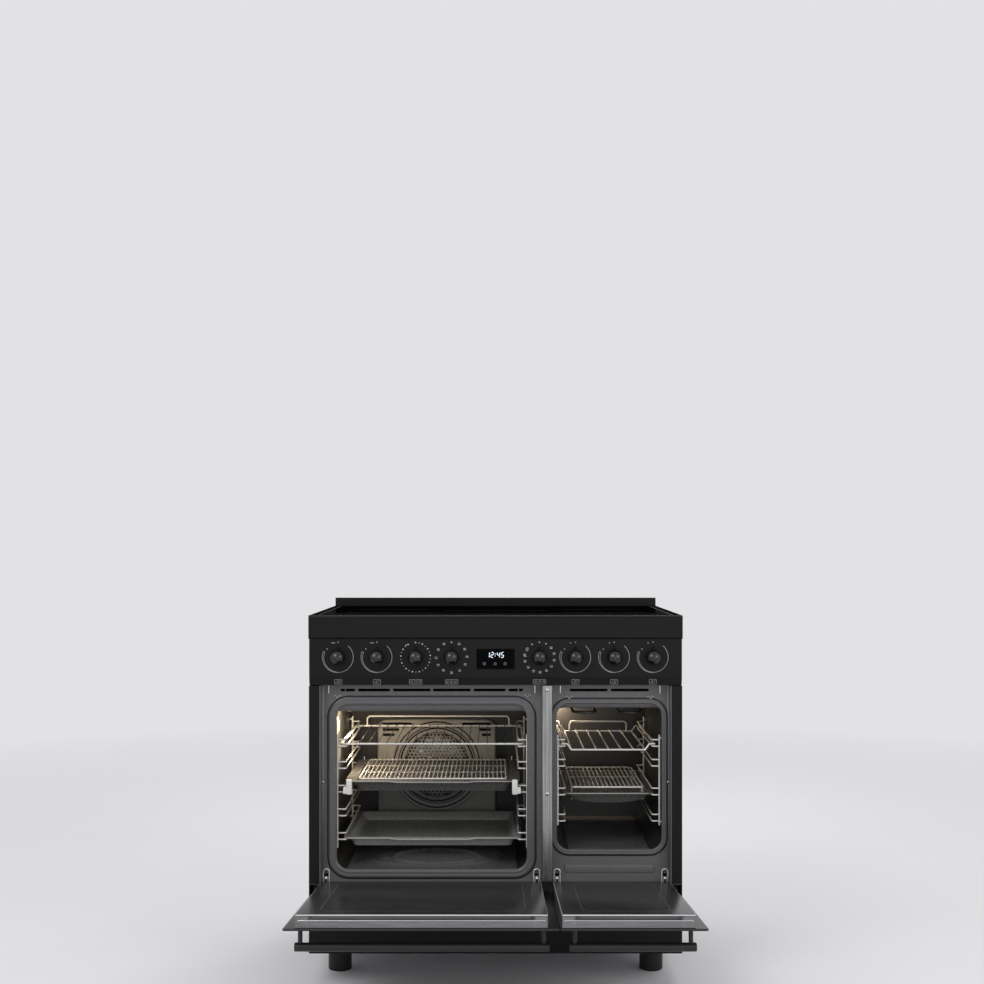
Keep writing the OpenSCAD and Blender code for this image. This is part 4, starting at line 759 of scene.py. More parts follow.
for side, (x0, x1, *_) in DOORS.items():
    door_piece(side, "bar", handle(x0 + 20, x1 - 20), handle_satin, ["handle"])

# %% [markdown]
# ## Knobs
# Each knob is a moulded ball on a low collar with a thin pointer that stands up like a sundial's. The ball
# and collar are one turned profile. The pointer is an outline that narrows as it rises.

# %% Ball, collar and pointer
KNOB_Z = 790.0
KNOB_X = [-378.0, -285.0, -192.0, -105.5, 105.5, 192.0, 285.0, 378.0]
BALL_R, COLLAR_R = 18.5, 14.5


def knob(x):
    """Collar radius 14.5, a groove, then a sphere of 18.5: radius sqrt(18.5^2 - (y - middle)^2)."""
    back = PANEL_FACE - 0.3
    middle = back - 5 - BALL_R * 0.6
    turn = np.linspace(np.arccos(0.57), np.pi, 14)[:-1]
    ball = np.stack([BALL_R * np.sin(turn), middle + BALL_R * np.cos(turn)], -1)
    collar = [(COLLAR_R, back), (COLLAR_R, back - 3.6), (COLLAR_R - 0.5, back - 4.4),
              (COLLAR_R - 1.3, back - 4.8)]
    profile = np.vstack([collar, ball, [(1.2, middle - 18.46)]])
    profile[:, 1] -= back
    body = revolve(profile, (x, back, KNOB_Z), 1, 40)
    rise = np.linspace(0, 1, 9)
    width = 5.5 * (1 - rise) + 0.6 * rise
    deep = 4.2 * (1 - rise) + 1.4 * rise
    rings = [stand(outline(w, d, min(w, d) * 0.6, 3), (x, back - 0.3 - d), KNOB_Z + 10 + 17 * r, 2)
             for w, d, r in zip(width, deep, rise)]
    spindle = revolve([(2.9, 0), (2.9, 20)], (x, PANEL_FACE, KNOB_Z), 1, 16)
    return [body, spindle], loft(rings)


for number, x in enumerate(KNOB_X, 1):
    turned, pointer = knob(x)
    piece(f"knob_{number}_ball", turned, knob_plastic, f"knob_{number}", [f"knob_{number}"])
    piece(f"knob_{number}_pointer", [pointer], pointer_plastic, f"knob_{number}")

# %% [markdown]
# ## Feet
# Four moulded feet carry the cooker. A foot is a turned profile too, with grip grooves round it for
# turning it to level the cooker, and a screw that goes up through the base.

# %% Turned feet
feet_low, feet_high = span("feet")
FOOT_R = 29.0
foot_xy = [(x, y) for x in (feet_low[0] + FOOT_R, feet_high[0] - FOOT_R)
           for y in (feet_low[1] + FOOT_R, feet_high[1] - FOOT_R)]
foot_profile = [(25.5, 0), (27.4, 0.5), (28.6, 1.8), (29, 4), (29, 12), (28.2, 12.8), (28.2, 14.2), (29, 15),
                (29, 60), (28.2, 60.8), (28.2, 62.2), (29, 63), (29, 74), (28.4, 77), (27.6, 78),
                (5, 78), (5, 92)]
piece("turned_feet", [revolve(foot_profile, (x, y, 0), 2, 48) for x, y in foot_xy], foot_plastic, "casing",
      ["feet"])

# %% [markdown]
# ## The oven face
# Round each opening the pressed face swells into a smooth broad seal, with a flat dark line outside it that
# is painted shade where the seal meets the face, and small wire hooks hold the seal at its corners. The seal
# is a half-round section carried round the opening's rounded rectangle.

# %% Openings
MAIN = {"centre": (-154.5, 472.0), "half": (230.5, 199.0), "radius": 30.0}
SECOND = {"centre": (275.75, 497.5), "half": (127.25, 176.5), "radius": 30.0}


def seal_shapes(hole, width):
    """Half-round bead of the given width round an opening."""
    section = bead(width, 5.4, OVEN_FACE, 0, 20, 1.5)
    return [border(hole["centre"], hole["half"], hole["radius"], section, 1, corner=10)]


def groove_shade_shapes(hole, width):
    """Flat dark line, 1.9 mm wide, just outside the bead: painted shade where the seal meets the face."""
    section = flat_band(width + 0.1, width + 2.0, OVEN_FACE - 1.7, OVEN_FACE + 0.3)
    return [border(hole["centre"], hole["half"], hole["radius"], section, 1, corner=10)]


def front_lip(hole, drop, back0=3.2, back1=11.0, steps=8):
    """The ceiling's front edge turned down, from side to side at the opening's top. Its depth and drop run
    over a quarter of an ellipse: b0 + (b1 - b0) (1 - cos a) and d sin a. A sheet closes it behind."""
    (cx, cz), (half_w, half_h) = hole["centre"], hole["half"]
    top = cz + half_h
    turn = np.linspace(0, np.pi / 2, steps)
    front = np.stack([OVEN_FACE + back0 + (back1 - back0) * (1 - np.cos(turn)), top - drop * np.sin(turn)], -1)
    rear = front[::-1] + (1.2, 0.6)
    section = np.vstack([[(OVEN_FACE + back0, top + 0.6)], front, rear])
    rings = [np.column_stack([np.full(len(section), x), section]) for x in (cx - half_w - 2, cx + half_w + 2)]
    return loft(np.array(rings))


piece("oven_front_lips", [front_lip(MAIN, 15.5), front_lip(SECOND, 10.5)], grey_enamel, "casing")
MAIN_BEAD, SECOND_BEAD = 21.0, 13.0
piece("oven_seal_beads", seal_shapes(MAIN, MAIN_BEAD) + seal_shapes(SECOND, SECOND_BEAD), bead_silicone,
      "casing", ["oven_seals"])
# The dark lines outside the seals are painted shade where each seal meets the face.
piece("seal_groove_shade", groove_shade_shapes(MAIN, MAIN_BEAD) + groove_shade_shapes(SECOND, SECOND_BEAD), rubber_and_shade_line,
      "casing")


# %% Seal hooks, catch tabs, hinge loops, pressed strip and trims
def hook(x, z):
    """A wire that comes out of the face, bends round a small bow over the bead and goes back in. It stands
    5.5 mm out at most, because the closed door's glass lies 6 mm in front of the face."""
    path = [(x - 9, OVEN_FACE + 0.5, z + 2), (x - 9, OVEN_FACE - 3.2, z + 3), (x - 5, OVEN_FACE - 4.2, z + 6),
            (x, OVEN_FACE - 4.5, z - 2), (x + 5, OVEN_FACE - 4.2, z + 6), (x + 9, OVEN_FACE - 3.2, z + 3),
            (x + 9, OVEN_FACE + 0.5, z + 2)]
    return tube(rounded(path, 1.6, 4), 1.0, 8)


hooks = [hook(x, z) for x, z in ((-383, 690), (77, 692), (179, 688), (376, 688))]
piece("seal_hooks", hooks, pale_enamel_and_rim_highlight, "casing")
tabs = [soft_block((x - 1.4, OVEN_FACE - 4, 700), (x + 1.4, OVEN_FACE + 0.5, 719), 1.2, 0.6, axis=1)
        for x in (-404.5, 95.5, 157.0, 398.5)]
piece("door_catch_tabs", tabs, chrome_wire, "casing")


def hinge_loop(x):
    """An upside-down U of wire in front of the face; the door's ears swing between its legs."""
    path = [(x - 7.4, OVEN_FACE + 2, 238), (x - 7.4, OVEN_FACE - 3, 241), (x - 7.4, OVEN_FACE - 3, 274),
            (x + 7.4, OVEN_FACE - 3, 274), (x + 7.4, OVEN_FACE - 3, 241), (x + 7.4, OVEN_FACE + 2, 238)]
    return tube(rounded(path, 6.5, 6), 1.7, 10)


loops = [hinge_loop(x) for x0, x1, f0, f1 in DOORS.values() for x in (f0 + EAR_INSET, f1 - EAR_INSET)]
piece("hinge_loops", loops, chrome_wire, "casing")
strip_x, strip_half = SECOND["centre"][0], 109
strip = soft_block((strip_x - strip_half, OVEN_FACE - 1.6, 264.5),
                   (strip_x + strip_half, OVEN_FACE + 1, 283.5), 6, 1.5, axis=1)
piece("pressed_strip", [strip], grey_enamel, "casing")
trims = [soft_block((x, OVEN_FACE - 1.4, 246), (x + 7, OVEN_FACE + 0.5, 720), 1, 0.9, axis=2)
         for x in (-422.6, 415.6)]
piece("face_edge_trims", trims, frame_steel, "casing")


# %% [markdown]
# ## The column between the ovens
# A bright folded channel covers the join of the two ovens. Its section has round folds and a shallow flat
# between two raised edges, and it is carried straight up.

# %% Folded channel
def column_section(x0, x1, y0, y1, t=1.5, fold=3.0):
    """Outer line: round folds of 3 mm and a flat sunk by 1 mm between 6 mm edges. The inner line is the
    same, moved in by the sheet, and walked back the other way."""
    turn = np.linspace(0, np.pi / 2, 6)
    left = np.stack([x0 + fold * (1 - np.cos(turn)), y0 + fold * (1 - np.sin(turn))], -1)
    face = np.array([(x0 + 6.5, y0), (x0 + 7.5, y0 + 1), (x1 - 7.5, y0 + 1), (x1 - 6.5, y0)])
    right = np.stack([x1 - left[::-1, 0] + x0, left[::-1, 1]], -1)
    outer = np.vstack([[(x0, y1)], left, face, right, [(x1, y1)]])
    middle = (x0 + x1) / 2
    inner = outer[::-1].copy()
    inner[:, 0] = middle + (inner[:, 0] - middle) * (x1 - x0 - 2 * t) / (x1 - x0)
    inner[:, 1] = np.where(inner[:, 1] < y1, inner[:, 1] + t, y1)
    return np.vstack([outer, inner])


column_low, column_high = span("centre_column")
section = column_section(column_low[0], column_high[0], STRIP_FACE, OVEN_FACE)
rings = np.array([np.column_stack([section, np.full(len(section), z)])
                  for z in (column_low[2], column_high[2])])
piece("folded_column", [loft(rings)], stainless, "casing", ["centre_column"])


def pan_screw(x, y, z, r=4.2):
    """Pan head facing front: radius r cos a and height 0.42 r sin a, with a dark cross on it that is painted
    shade in the cross recess.
    """
    turn = np.linspace(0, np.pi / 2, 6)
    high = 0.42 * r
    head = np.stack([r * np.cos(turn) + 0.02, -high * np.sin(turn)], -1)
    cross = [soft_block((x - a, y - high - 0.05, z - b), (x + a, y - high + 0.4, z + b), 0.2, 0.1, axis=1)
             for a, b in ((r * 0.5, 0.35), (0.35, r * 0.5))]
    return revolve(np.vstack([[(r * 0.7, 0.8), (r, 0.3)], head]), (x, y, z), 1, 20), cross


column_x = (column_low[0] + column_high[0]) / 2
screws = [pan_screw(column_x, STRIP_FACE + 1, z) for z in (711.0, 461.0)]
screws += [pan_screw(-419, OVEN_FACE - 1.4, 484, 3.2), pan_screw(419, OVEN_FACE - 1.4, 484, 3.2)]
piece("column_screws", [head for head, _ in screws], zinc_bright, "casing", ["face_screws"])
# Dark crosses on the screw heads: painted shade in the cross recesses.
piece("screw_cross_shade", [c for _, cross in screws for c in cross], rubber_and_shade_line, "casing")

# %% [markdown]
# ## Inside the ovens
# The oven floors are pressed with shallow ovals so that the thin sheet doesn't drum when it gets hot. A
# floor is a height worked out over a grid: it rises in a smooth ridge where the distance from the middle,
# measured in ovals, is near one.


# %% Pressed floors
def pressed_floor(x0, x1, y0, y1, z, ovals, nx=110, ny=70):
    """Height z + sum of h exp(-((d - 1) / w)^2), where d = sqrt(((x - cx) / a)^2 + ((y - cy) / b)^2).
    The top is closed by sides and a flat underside, so it is a thin solid sheet."""
    x, y = np.meshgrid(np.linspace(x0, x1, nx), np.linspace(y0, y1, ny))
    height = np.zeros_like(x)
    for cx, cy, a, b, width, rise in ovals:
        d = np.sqrt(((x - cx) / a) ** 2 + ((y - cy) / b) ** 2)
        height += rise * np.exp(-((d - 1) / width) ** 2)
    top = np.stack([x, y, z + 0.6 + height], -1)
    rings = np.concatenate([top, top[:, ::-1] * (1, 1, 0) + (0, 0, z)], 1)
    return loft(rings)


floor_y0, floor_y1 = OVEN_FACE + 4, 376.0
main_floor = pressed_floor(-361, 52, floor_y0, floor_y1, 273.05,
                           [(-160, 118, 172, 126, 0.08, 3.0), (-147.5, 90, 106, 80, 0.07, 5.0),
                            (-279.5, 78, 9, 9, 0.6, 3.0), (-29.5, 78, 9, 9, 0.6, 3.0)])
second_floor = pressed_floor(178, 373, floor_y0, floor_y1, 321.05, [(275.75, 160, 78, 130, 0.1, 1.2)], 60, 70)
# The floors wear the lighter floor enamel: painted light.
piece("oven_floors", [main_floor, second_floor], floor_painted_lighter, "casing")


# %% [markdown]
# ## Fan cover
# The cover in the main oven's back is a pressed dark plate with a sheet of small round holes before the
# fan, rings pressed round it, and air slots above. The holes are real: a honeycomb of cells, each a
# hexagon with a round hole, as punched sheet is. The rings are a height worked out over circles that
# grow, point by point, into the plate's rounded outline.

# %% Punched sheet
FAN_X, FAN_Z = -159.0, 465.0
COVER_Y, COVER_BACK = 351.6, 377.5
COVER_MIDDLE = (-159.0, 445.0)
COVER_HALF = (162.5, 144.0)
COVER_RINGS = ((92, 2.2, 2.2), (111, 2.0, 2.6), (121, 2.0, 2.6))
HOLE_SHEET_R, CELL = 90.0, 10.4


def punched_sheet(radius, pitch, hole, y, thick=1.0):
    """Hexagon cells on a triangular lattice. Each has 12 outer points on the hexagon and 12 inner ones on
    the hole, on the front and on the back, joined by four strips: front, hole wall, back and rim."""
    n = int(radius / pitch) + 2
    i, j = np.meshgrid(np.arange(-n, n + 1), np.arange(-n, n + 1))
    cx = (i + j / 2).ravel() * pitch
    cz = j.ravel() * pitch * np.sqrt(3) / 2
    keep = np.hypot(cx, cz) < radius - pitch * 0.55
    cx, cz = cx[keep], cz[keep]
    turn = np.arange(12) * np.pi / 6
    side = pitch / 2 / np.cos((turn + np.pi / 6) % (np.pi / 3) - np.pi / 6)
    outer = np.stack([side * np.cos(turn), side * np.sin(turn)], -1)
    inner = np.stack([hole * np.cos(turn), hole * np.sin(turn)], -1)
    ring = np.stack([outer, inner, inner, outer])
    depth = np.array([y, y, y + thick, y + thick])
    cells = np.empty((len(cx), 4, 12, 3))
    cells[..., 0] = FAN_X + cx[:, None, None] + ring[None, :, :, 0]
    cells[..., 1] = depth[None, :, None]
    cells[..., 2] = FAN_Z + cz[:, None, None] + ring[None, :, :, 1]
    faces = np.array(grid_faces(4, 12, True, True))
    every = (faces[None] + 48 * np.arange(len(cx))[:, None, None]).reshape(-1, 4)
    return cells.reshape(-1, 3), every.tolist()


# %% Pressed plate round it
def cover_plate():
    """Points at angle t lie between the circle of holes and the outline, at share s: the outline's point
    is a rounded rectangle's. Depth: rings exp(-((r - R) / w)^2) high, then a round fold back to the wall."""
    turn = np.linspace(0, 2 * np.pi, 193)[:-1]
    direction = np.stack([np.cos(turn), np.sin(turn)], -1)
    shift = np.array(COVER_MIDDLE) - (FAN_X, FAN_Z)
    rim = outline(COVER_HALF[0] - 7, COVER_HALF[1] - 7, 22, 16, 40) + shift
    angle = np.unwrap(np.arctan2(rim[:, 1], rim[:, 0]))
    order = np.argsort(angle % (2 * np.pi))
    base = (angle % (2 * np.pi))[order]
    rim = rim[order]
    out = np.stack([np.interp(turn, base, rim[:, k], period=2 * np.pi) for k in (0, 1)], -1)
    start = direction * (HOLE_SHEET_R - 2)
    share = np.linspace(0, 1, 60)[:, None, None]
    flat = start * (1 - share) + out * share
    r = np.hypot(flat[..., 0], flat[..., 1])
    y = COVER_Y + 1.2 - sum(h * np.exp(-((r - ring) / w) ** 2) for ring, h, w in COVER_RINGS)
    arch = np.hypot(flat[..., 0], flat[..., 1] + 10)
    y -= 1.6 * np.exp(-((arch - 142) / 3.0) ** 2) * (flat[..., 1] < 70) * (flat[..., 1] > -20)
    y = np.maximum(y, COVER_Y)
    fold = np.linspace(0, np.pi / 2, 6)[1:, None, None]
    unit = (out - shift) / np.linalg.norm(out - shift, axis=1, keepdims=True)
    edge = out + unit * 6 * np.sin(fold)
    edge_y = COVER_Y + 1.2 + 6 * (1 - np.cos(fold))[..., 0] + np.zeros((1, len(turn)))
    points = np.concatenate([flat, edge, edge[-1:]])
    depth = np.concatenate([y, edge_y, np.full((1, len(turn)), COVER_BACK)])
    front = np.stack([FAN_X + points[..., 0], depth, FAN_Z + points[..., 1]], -1)
    back = front[::-1].copy()
    back[..., 1] = np.minimum(back[..., 1] + 1.0, COVER_BACK)
    for way, centre in ((0, COVER_MIDDLE[0]), (2, COVER_MIDDLE[1])):
        back[:7, :, way] = centre + (back[:7, :, way] - centre) * 0.992
    return loft(np.concatenate([front, back]), loop=True)


piece("fan_cover_plate", [cover_plate()], cover_enamel, "casing", ["fan_cover"])
piece("fan_cover_holes", [punched_sheet(HOLE_SHEET_R, CELL, 3.7, COVER_Y + 1.4)], cover_enamel, "casing")


# %% Slots and screws of the cover
def slot_frame(x0, x1, z, y, half_h=3.4):
    """A pressed lip round a slot: the lip is a small bead round a long rounded rectangle, and the slot is a
    dark block, painted shade where the opening shows the dark behind.
    """
    middle, half = ((x0 + x1) / 2, z), ((x1 - x0) / 2, half_h)
    hole = soft_block((x0, y - 0.5, z - half_h), (x1, y + 1, z + half_h), half_h - 0.1, 0.2, axis=1)
    return border(middle, half, half_h, bead(2.0, 1.0, y, 0, 5), 1, 5), hole


SLOTS = ((-151, -68, 575.5), (68, 151, 575.5), (-147, -102, 560), (-147, -114, 546), (114, 147, 560),
         (122, 147, 546))
slots = [slot_frame(FAN_X + a, FAN_X + b, z, COVER_Y + 1) for a, b, z in SLOTS]
piece("fan_cover_slot_lips", [lip for lip, _ in slots], cover_enamel, "casing")
# The slots are dark blocks: painted shade where the openings show the dark behind the cover.
piece("fan_cover_slot_shade", [hole for _, hole in slots], rubber_and_shade_line, "casing")
# Dark rings on the cover: painted shade in the folds between its pressed rings.
grooves = [border((FAN_X, FAN_Z), (r, r), r, flat_band(0, w, COVER_Y + 0.7, COVER_Y + 1.3), 1, 24)
           for r, w in ((96.5, 4.0), (103.5, 2.4), (114.2, 3.4))]
piece("fan_cover_groove_shade", grooves, rubber_and_shade_line, "casing")
cover_screws = [pan_screw(FAN_X + sx * 148, COVER_Y + 1.2, COVER_MIDDLE[1] + sz * 128, 3.6)[0]
                for sx in (-1, 1) for sz in (-1, 1)]
piece("fan_cover_screws", cover_screws, zinc_bright, "casing")

# %% [markdown]
# ## Lamps
# A lamp lens is a small glass dome with a flat rim, turned about an axis that comes out of the wall.


# %% Glass lenses
def lens(wall_x, z):
    """Rim radius 22, then a dome: distance 2.4 + 3.6 cos a from the wall and radius 18 sin a."""
    turn = np.linspace(np.pi / 2, 0.05, 9)
    dome = np.stack([18 * np.sin(turn), 2.4 + 3.6 * np.cos(turn)], -1)
    profile = np.vstack([[(21, 0), (22, 0.6), (22, 1.8), (21.2, 2.4), (18.6, 2.4)], dome])
    rear = np.array([(17.5, -13.4), (17.7, -0.2)])
    return revolve(np.vstack([rear, profile]), (wall_x, LAMP_Y, z), 0, 32)


lens_places = [(main_low[0] + LINER_T, MAIN_LAMP_Z), (second_low[0] + LINER_T, SECOND_LAMP_Z)]
piece("lamp_lenses", [lens(x, z) for x, z in lens_places], lamp_lit, "casing", ["oven_lamps"])

# %% [markdown]
# ## Trays
# A tray is pressed from one sheet: a flat rim with a rolled edge, walls that slope in, and a floor. Seen
# as outlines it is a stack: the floor, the foot of the wall, its top, the rim, round the edge and back
# underneath. The front rim dips in the middle so that the tray can be gripped, which is a smooth step
# over the points near the front.


# %% Tray from outlines
SHEET_T, RIM_R, DIP_HALF = 1.2, 1.9, 89


def dip_share(points, middle, half):
    """How much of the grip's dip a point gets: it fades over 14 mm behind the front edge, and by a smooth
    step over 16 mm past the dip's half width of 89 mm."""
    near = np.clip((middle[1] - half[1] + 20 - points[..., 1]) / 14, 0, 1)
    return near * smooth((DIP_HALF + 16 - np.abs(points[..., 0] - middle[0])) / 16)


def tray(middle, half, well, z, depth, dip=0.0, belly=0.0):
    """Outlines from the floor's top, up the sloped wall, over the rim, round the rolled edge and back
    under, 1.2 mm apart. Slope: the well is 7 mm smaller at the floor. Points in front drop by the dip
    times a smooth step in x; a belly lifts the floor by belly * |x / well|^3 towards its ends."""
    t, r = SHEET_T, 3.0
    half, well = np.array(half), np.array(well)
    turn = np.linspace(0, np.pi / 2, 5)[1:]
    path = [(well - 14, z - depth + t)]
    path += [(well - 7 - r * (1 - np.sin(a)), z - depth + t + r * (1 - np.cos(a))) for a in turn]
    path += [(well - 1.2, z - 1.5), (well + 0.6, z + t - 0.2), (well + 2, z + t)]
    path += [(half - 2.2, z + t), (half - 0.7, z + t - 0.5), (half, z - 0.8), (half - 0.7, z - 2.2),
             (half - 2.2, z - 2.0), (half - 2.6, z)]
    path += [(well + 2.4, z), (well + 0.2, z - 2), (well - 5.6, z - depth + 2.5), (well - 8, z - depth),
             (well - 16, z - depth)]
    rings = np.array([stand(outline(*size, max(15 - (half[0] - size[0]) * 0.2, 3), 6, 24), middle, height, 2)
                      for size, height in path])
    rings[..., 2] -= dip * dip_share(rings, middle, half) * (rings[..., 2] > z - 3)
    under = np.clip((z - 3 - rings[..., 2]) / max(depth - 4, 1), 0, 1)
    rings[..., 2] += belly * under * np.abs((rings[..., 0] - middle[0]) / well[0]) ** 3
    return loft(rings)


def tray_rim(node, dip):
    """The rolled edge as a wire of 1.85 mm radius along the rim's outline, painted pale as a painted highlight
    along the edge; it follows the same dip.
    """
    low, high = span(node)
    middle, half = middle_and_half(low, high)
    path = stand(outline(half[0] - RIM_R, half[1] - RIM_R, 14, 6, 24), middle[:2], high[2] - RIM_R, 2)
    path[:, 2] -= dip * dip_share(path, middle, half)
    return tube(path, 1.85, 8, closed=True)


def tray_from(node, well_inset, depth, **form):
    """The middle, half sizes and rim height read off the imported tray's box."""
    low, high = span(node)
    middle, half = middle_and_half(low, high)
    return tray(middle[:2], half[:2], (half[0] - well_inset, half[1] - 14), high[2] - SHEET_T, depth, **form)


# Each row: well inset, depth, dip of the front rim, belly of the floor, finish
TRAYS = {"guided_tray": (26, 26, 2.2, 0, tray_enamel), "baking_tray": (18, 22, 3.0, 0, baking_tray_painted_lighter),
         "second_tray": (14, 26, 0.0, 15, tray_enamel)}
for node, (inset, depth, dip, belly, paint) in TRAYS.items():
    piece(f"{node}_pressing", [tray_from(node, inset, depth, dip=dip, belly=belly)], paint, node,
          [node])
# The rolled rims are painted pale: a painted highlight along each tray's edge.
for node, (*_, dip, belly, paint) in TRAYS.items():
    piece(f"{node}_rolled_rim_highlight", [tray_rim(node, dip)], pale_enamel_and_rim_highlight, node)


# %% [markdown]
# ## Wire shelves and grids
# Shelves are welded wire: a heavy frame, thin wires along it, and a bent stop at the back. Each wire is a
# tube along a path with rounded corners, so the bends are true arcs.


# %% Welded wires
def thin_wires(middle_x, half, z, y0, y1, count, radius=1.4):
    """Thin wires front to back, spaced evenly, their ends bent down round the frame wires."""
    places = middle_x + np.linspace(-half, half, count + 2)[1:-1]
    run = ((y0 - 1.5, z - 2.5), (y0 - 1.2, z), (y1 + 1.2, z), (y1 + 1.5, z - 2.5))
    return [tube(rounded([(x, *yz) for yz in run], 1.6, 3), radius, 6) for x in places]


def frame_loop(middle_x, half, z, y0, y1, radius, corner=7):
    """The frame: one wire bent round a rounded rectangle and welded to itself."""
    path = rounded([(middle_x - half, y0, z), (middle_x + half, y0, z), (middle_x + half, y1, z),
                    (middle_x - half, y1, z)], corner, 5, closed=True)
    return tube(path, radius, 10, closed=True)


def rear_stop(middle_x, half, z, rise, y, radius):
    """An upright U at the back that keeps food from sliding against the wall."""
    path = [(middle_x - half, y, z), (middle_x - half, y, z + rise), (middle_x + half, y, z + rise),
            (middle_x + half, y, z)]
    return tube(rounded(path, 9, 6), radius, 10)


FRAME_R, STOP_R = 2.6, 2.4
rack_low, rack_high = span("wire_rack")
rack_x, rack_half = middle_and_half(rack_low[0], rack_high[0])
rack_half -= FRAME_R
RACK_Z = rack_low[2] + FRAME_R
rack_y = (rack_low[1] + FRAME_R, rack_high[1] - FRAME_R)
shelf = [frame_loop(rack_x, rack_half, RACK_Z, *rack_y, FRAME_R),
         rear_stop(rack_x, 191, RACK_Z, rack_high[2] - RACK_Z - STOP_R, rack_y[1], STOP_R)]
piece("wire_rack_welded", shelf, chrome_wire, "wire_rack", ["wire_rack"])
thin = thin_wires(rack_x, rack_half, RACK_Z + STOP_R, *rack_y, 19, 1.1)
piece("wire_rack_thin_wires", thin, thin_wire, "wire_rack")


# %% Grids that stand in the trays
def tray_grid(node, thin, cross, rail=2.6):
    """Frame loop, thin wires both ways and four legs with rounded feet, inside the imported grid's box."""
    low, high = span(node)
    middle_x, half = middle_and_half(low[0], high[0])
    half -= rail
    top = high[2] - 3.4
    y0, y1 = low[1] + rail, high[1] - rail
    shapes = [frame_loop(middle_x, half, top, y0, y1, rail - 0.4, 9)]
    shapes += thin_wires(middle_x, half, top + 1.8, y0, y1, thin, 1.35)
    shapes += [bar((middle_x - half, y, top - 0.4), (middle_x + half, y, top - 0.4), 1.2, 6)
               for y in np.linspace(y0, y1, cross + 2)[1:-1]]
    for x in (middle_x - half, middle_x + half):
        for y in (y0 + 30, y1 - 30):
            shapes.append(tube(rounded([(x, y - 9, top), (x, y - 7, low[2] + 2.2), (x, y + 7, low[2] + 2.2),
                                        (x, y + 9, top)], 4, 4), 2.0, 8))
    return shapes


piece("guided_tray_wires", tray_grid("guided_tray_grid", 33, 2), chrome_wire, "guided_tray",
      ["guided_tray_grid"])
piece("second_tray_wires", tray_grid("second_tray_grid", 15, 1), chrome_wire, "second_tray",
      ["second_tray_grid"])

# %% Shelf that hangs low from its cranked corners
low, high = span("dropped_shelf")
shelf_x, out = middle_and_half(low[0], high[0])
out -= FRAME_R
SHELF_DIP = 14.5
SHELF_LOW = low[2] + FRAME_R
SHELF_HIGH = SHELF_LOW + SHELF_DIP
y0, y1 = low[1] + FRAME_R, high[1] - FRAME_R
inner = out - 22
shelf = []
for y in (y0, y1):
    half_path = [(out, SHELF_HIGH), (out - 12, SHELF_HIGH), (inner, SHELF_LOW)]
    path = [(shelf_x - x, y, z) for x, z in half_path] + [(shelf_x + x, y, z) for x, z in half_path[::-1]]
    shelf.append(tube(rounded(path, 5, 4), STOP_R, 10))
for from_middle, z, past, radius in ((out, SHELF_HIGH, 2, FRAME_R), (inner, SHELF_LOW, 0, STOP_R)):
    shelf += [bar((x, y0 - past, z), (x, y1 + past, z), radius, 10)
              for x in (shelf_x - from_middle, shelf_x + from_middle)]
shelf += thin_wires(shelf_x, inner, SHELF_LOW + STOP_R, y0, y1, 5, 2.0)
shelf.append(rear_stop(shelf_x, inner - 14, SHELF_LOW, high[2] - SHELF_LOW - STOP_R, y1, STOP_R))
piece("dropped_shelf_welded", shelf, chrome_wire, "dropped_shelf", ["dropped_shelf"])

# %% [markdown]
# ## Sliding guides
# The upper tray runs on two telescopic guides with pale end blocks. The rails are folded strips and the
# blocks are mouldings with round edges.

# %% Rails and end blocks
rail_low, rail_high = span("guide_inner_rails")
outer_low, outer_high = span("guide_outer_rails")
rails, blocks = [], []
for s in (-1, 1):
    place = lambda a, b: tuple(sorted((MAIN["centre"][0] + s * a, MAIN["centre"][0] + s * b)))
    x0, x1 = place(194.9, 200.9)
    z0, z1 = outer_low[2] + 8, outer_high[2] + 8
    rails.append(soft_block((x0, rail_low[1] + 11, z0), (x1, rail_high[1], z1), 2.2, 0.6, axis=1))
    rails.append(revolve([(2.4, 0), (2.4, 12), (1.6, 13.4)], ((x0 + x1) / 2, rail_high[1] - 6, z1 - 2), 2, 16))
    x0, x1 = place(194.9, 208.5)
    blocks.append(soft_block((x0, rail_low[1], z1 + 6 - 36), (x1, rail_low[1] + 11, z1 + 6), 3, 1.6, axis=1))
    x0, x1 = place(207.5, 216.2)
    blocks.append(soft_block((x0, rail_low[1] + 0.4, z1 - 28), (x1, rail_low[1] + 11, z1 - 12), 2, 1.2, axis=1))
    x0, x1 = place(198.5, 205)
    blocks.append(soft_block((x0, rail_low[1] - 0.5, z1 - 24), (x1, rail_low[1] + 1, z1 - 2), 2, 0.6, axis=1))
piece("guide_rails", rails, zinc_bright, "guided_tray", ["guide_inner_rails"])
piece("guide_end_blocks", blocks, pale_plastic, "guided_tray")

# %% [markdown]
# ## Printed marks
# The marks on the panel are screen-printed ink: rings that show how far a hob knob is turned, dots and
# small signs round the oven knobs, and framed signs that show which zone a knob belongs to. A print has
# almost no height, so each mark is a flat shape a tenth of a millimetre thick on the steel. All of them
# are plain generic signs.

# %% Flat ink shapes on the panel
INK = 0.12


def ink_arc(x, z, inner, outer, start, end, y=PANEL_FACE, steps=48):
    """Band between two radii from one clock angle to another: x + r sin t, z + r cos t. Radii may change
    along the arc, so a band can lean outwards."""
    t = np.radians(np.linspace(start, end, steps))
    inner = np.interp(np.linspace(0, 1, steps), np.linspace(0, 1, len(inner)), inner)
    outer = np.interp(np.linspace(0, 1, steps), np.linspace(0, 1, len(outer)), outer)
    corner_r = np.stack([inner, outer, outer, inner], -1)
    corner_y = np.broadcast_to([y - INK, y - INK, y + 0.1, y + 0.1], (steps, 4))
    return loft(np.stack([x + corner_r * np.sin(t)[:, None], corner_y, z + corner_r * np.cos(t)[:, None]], -1))


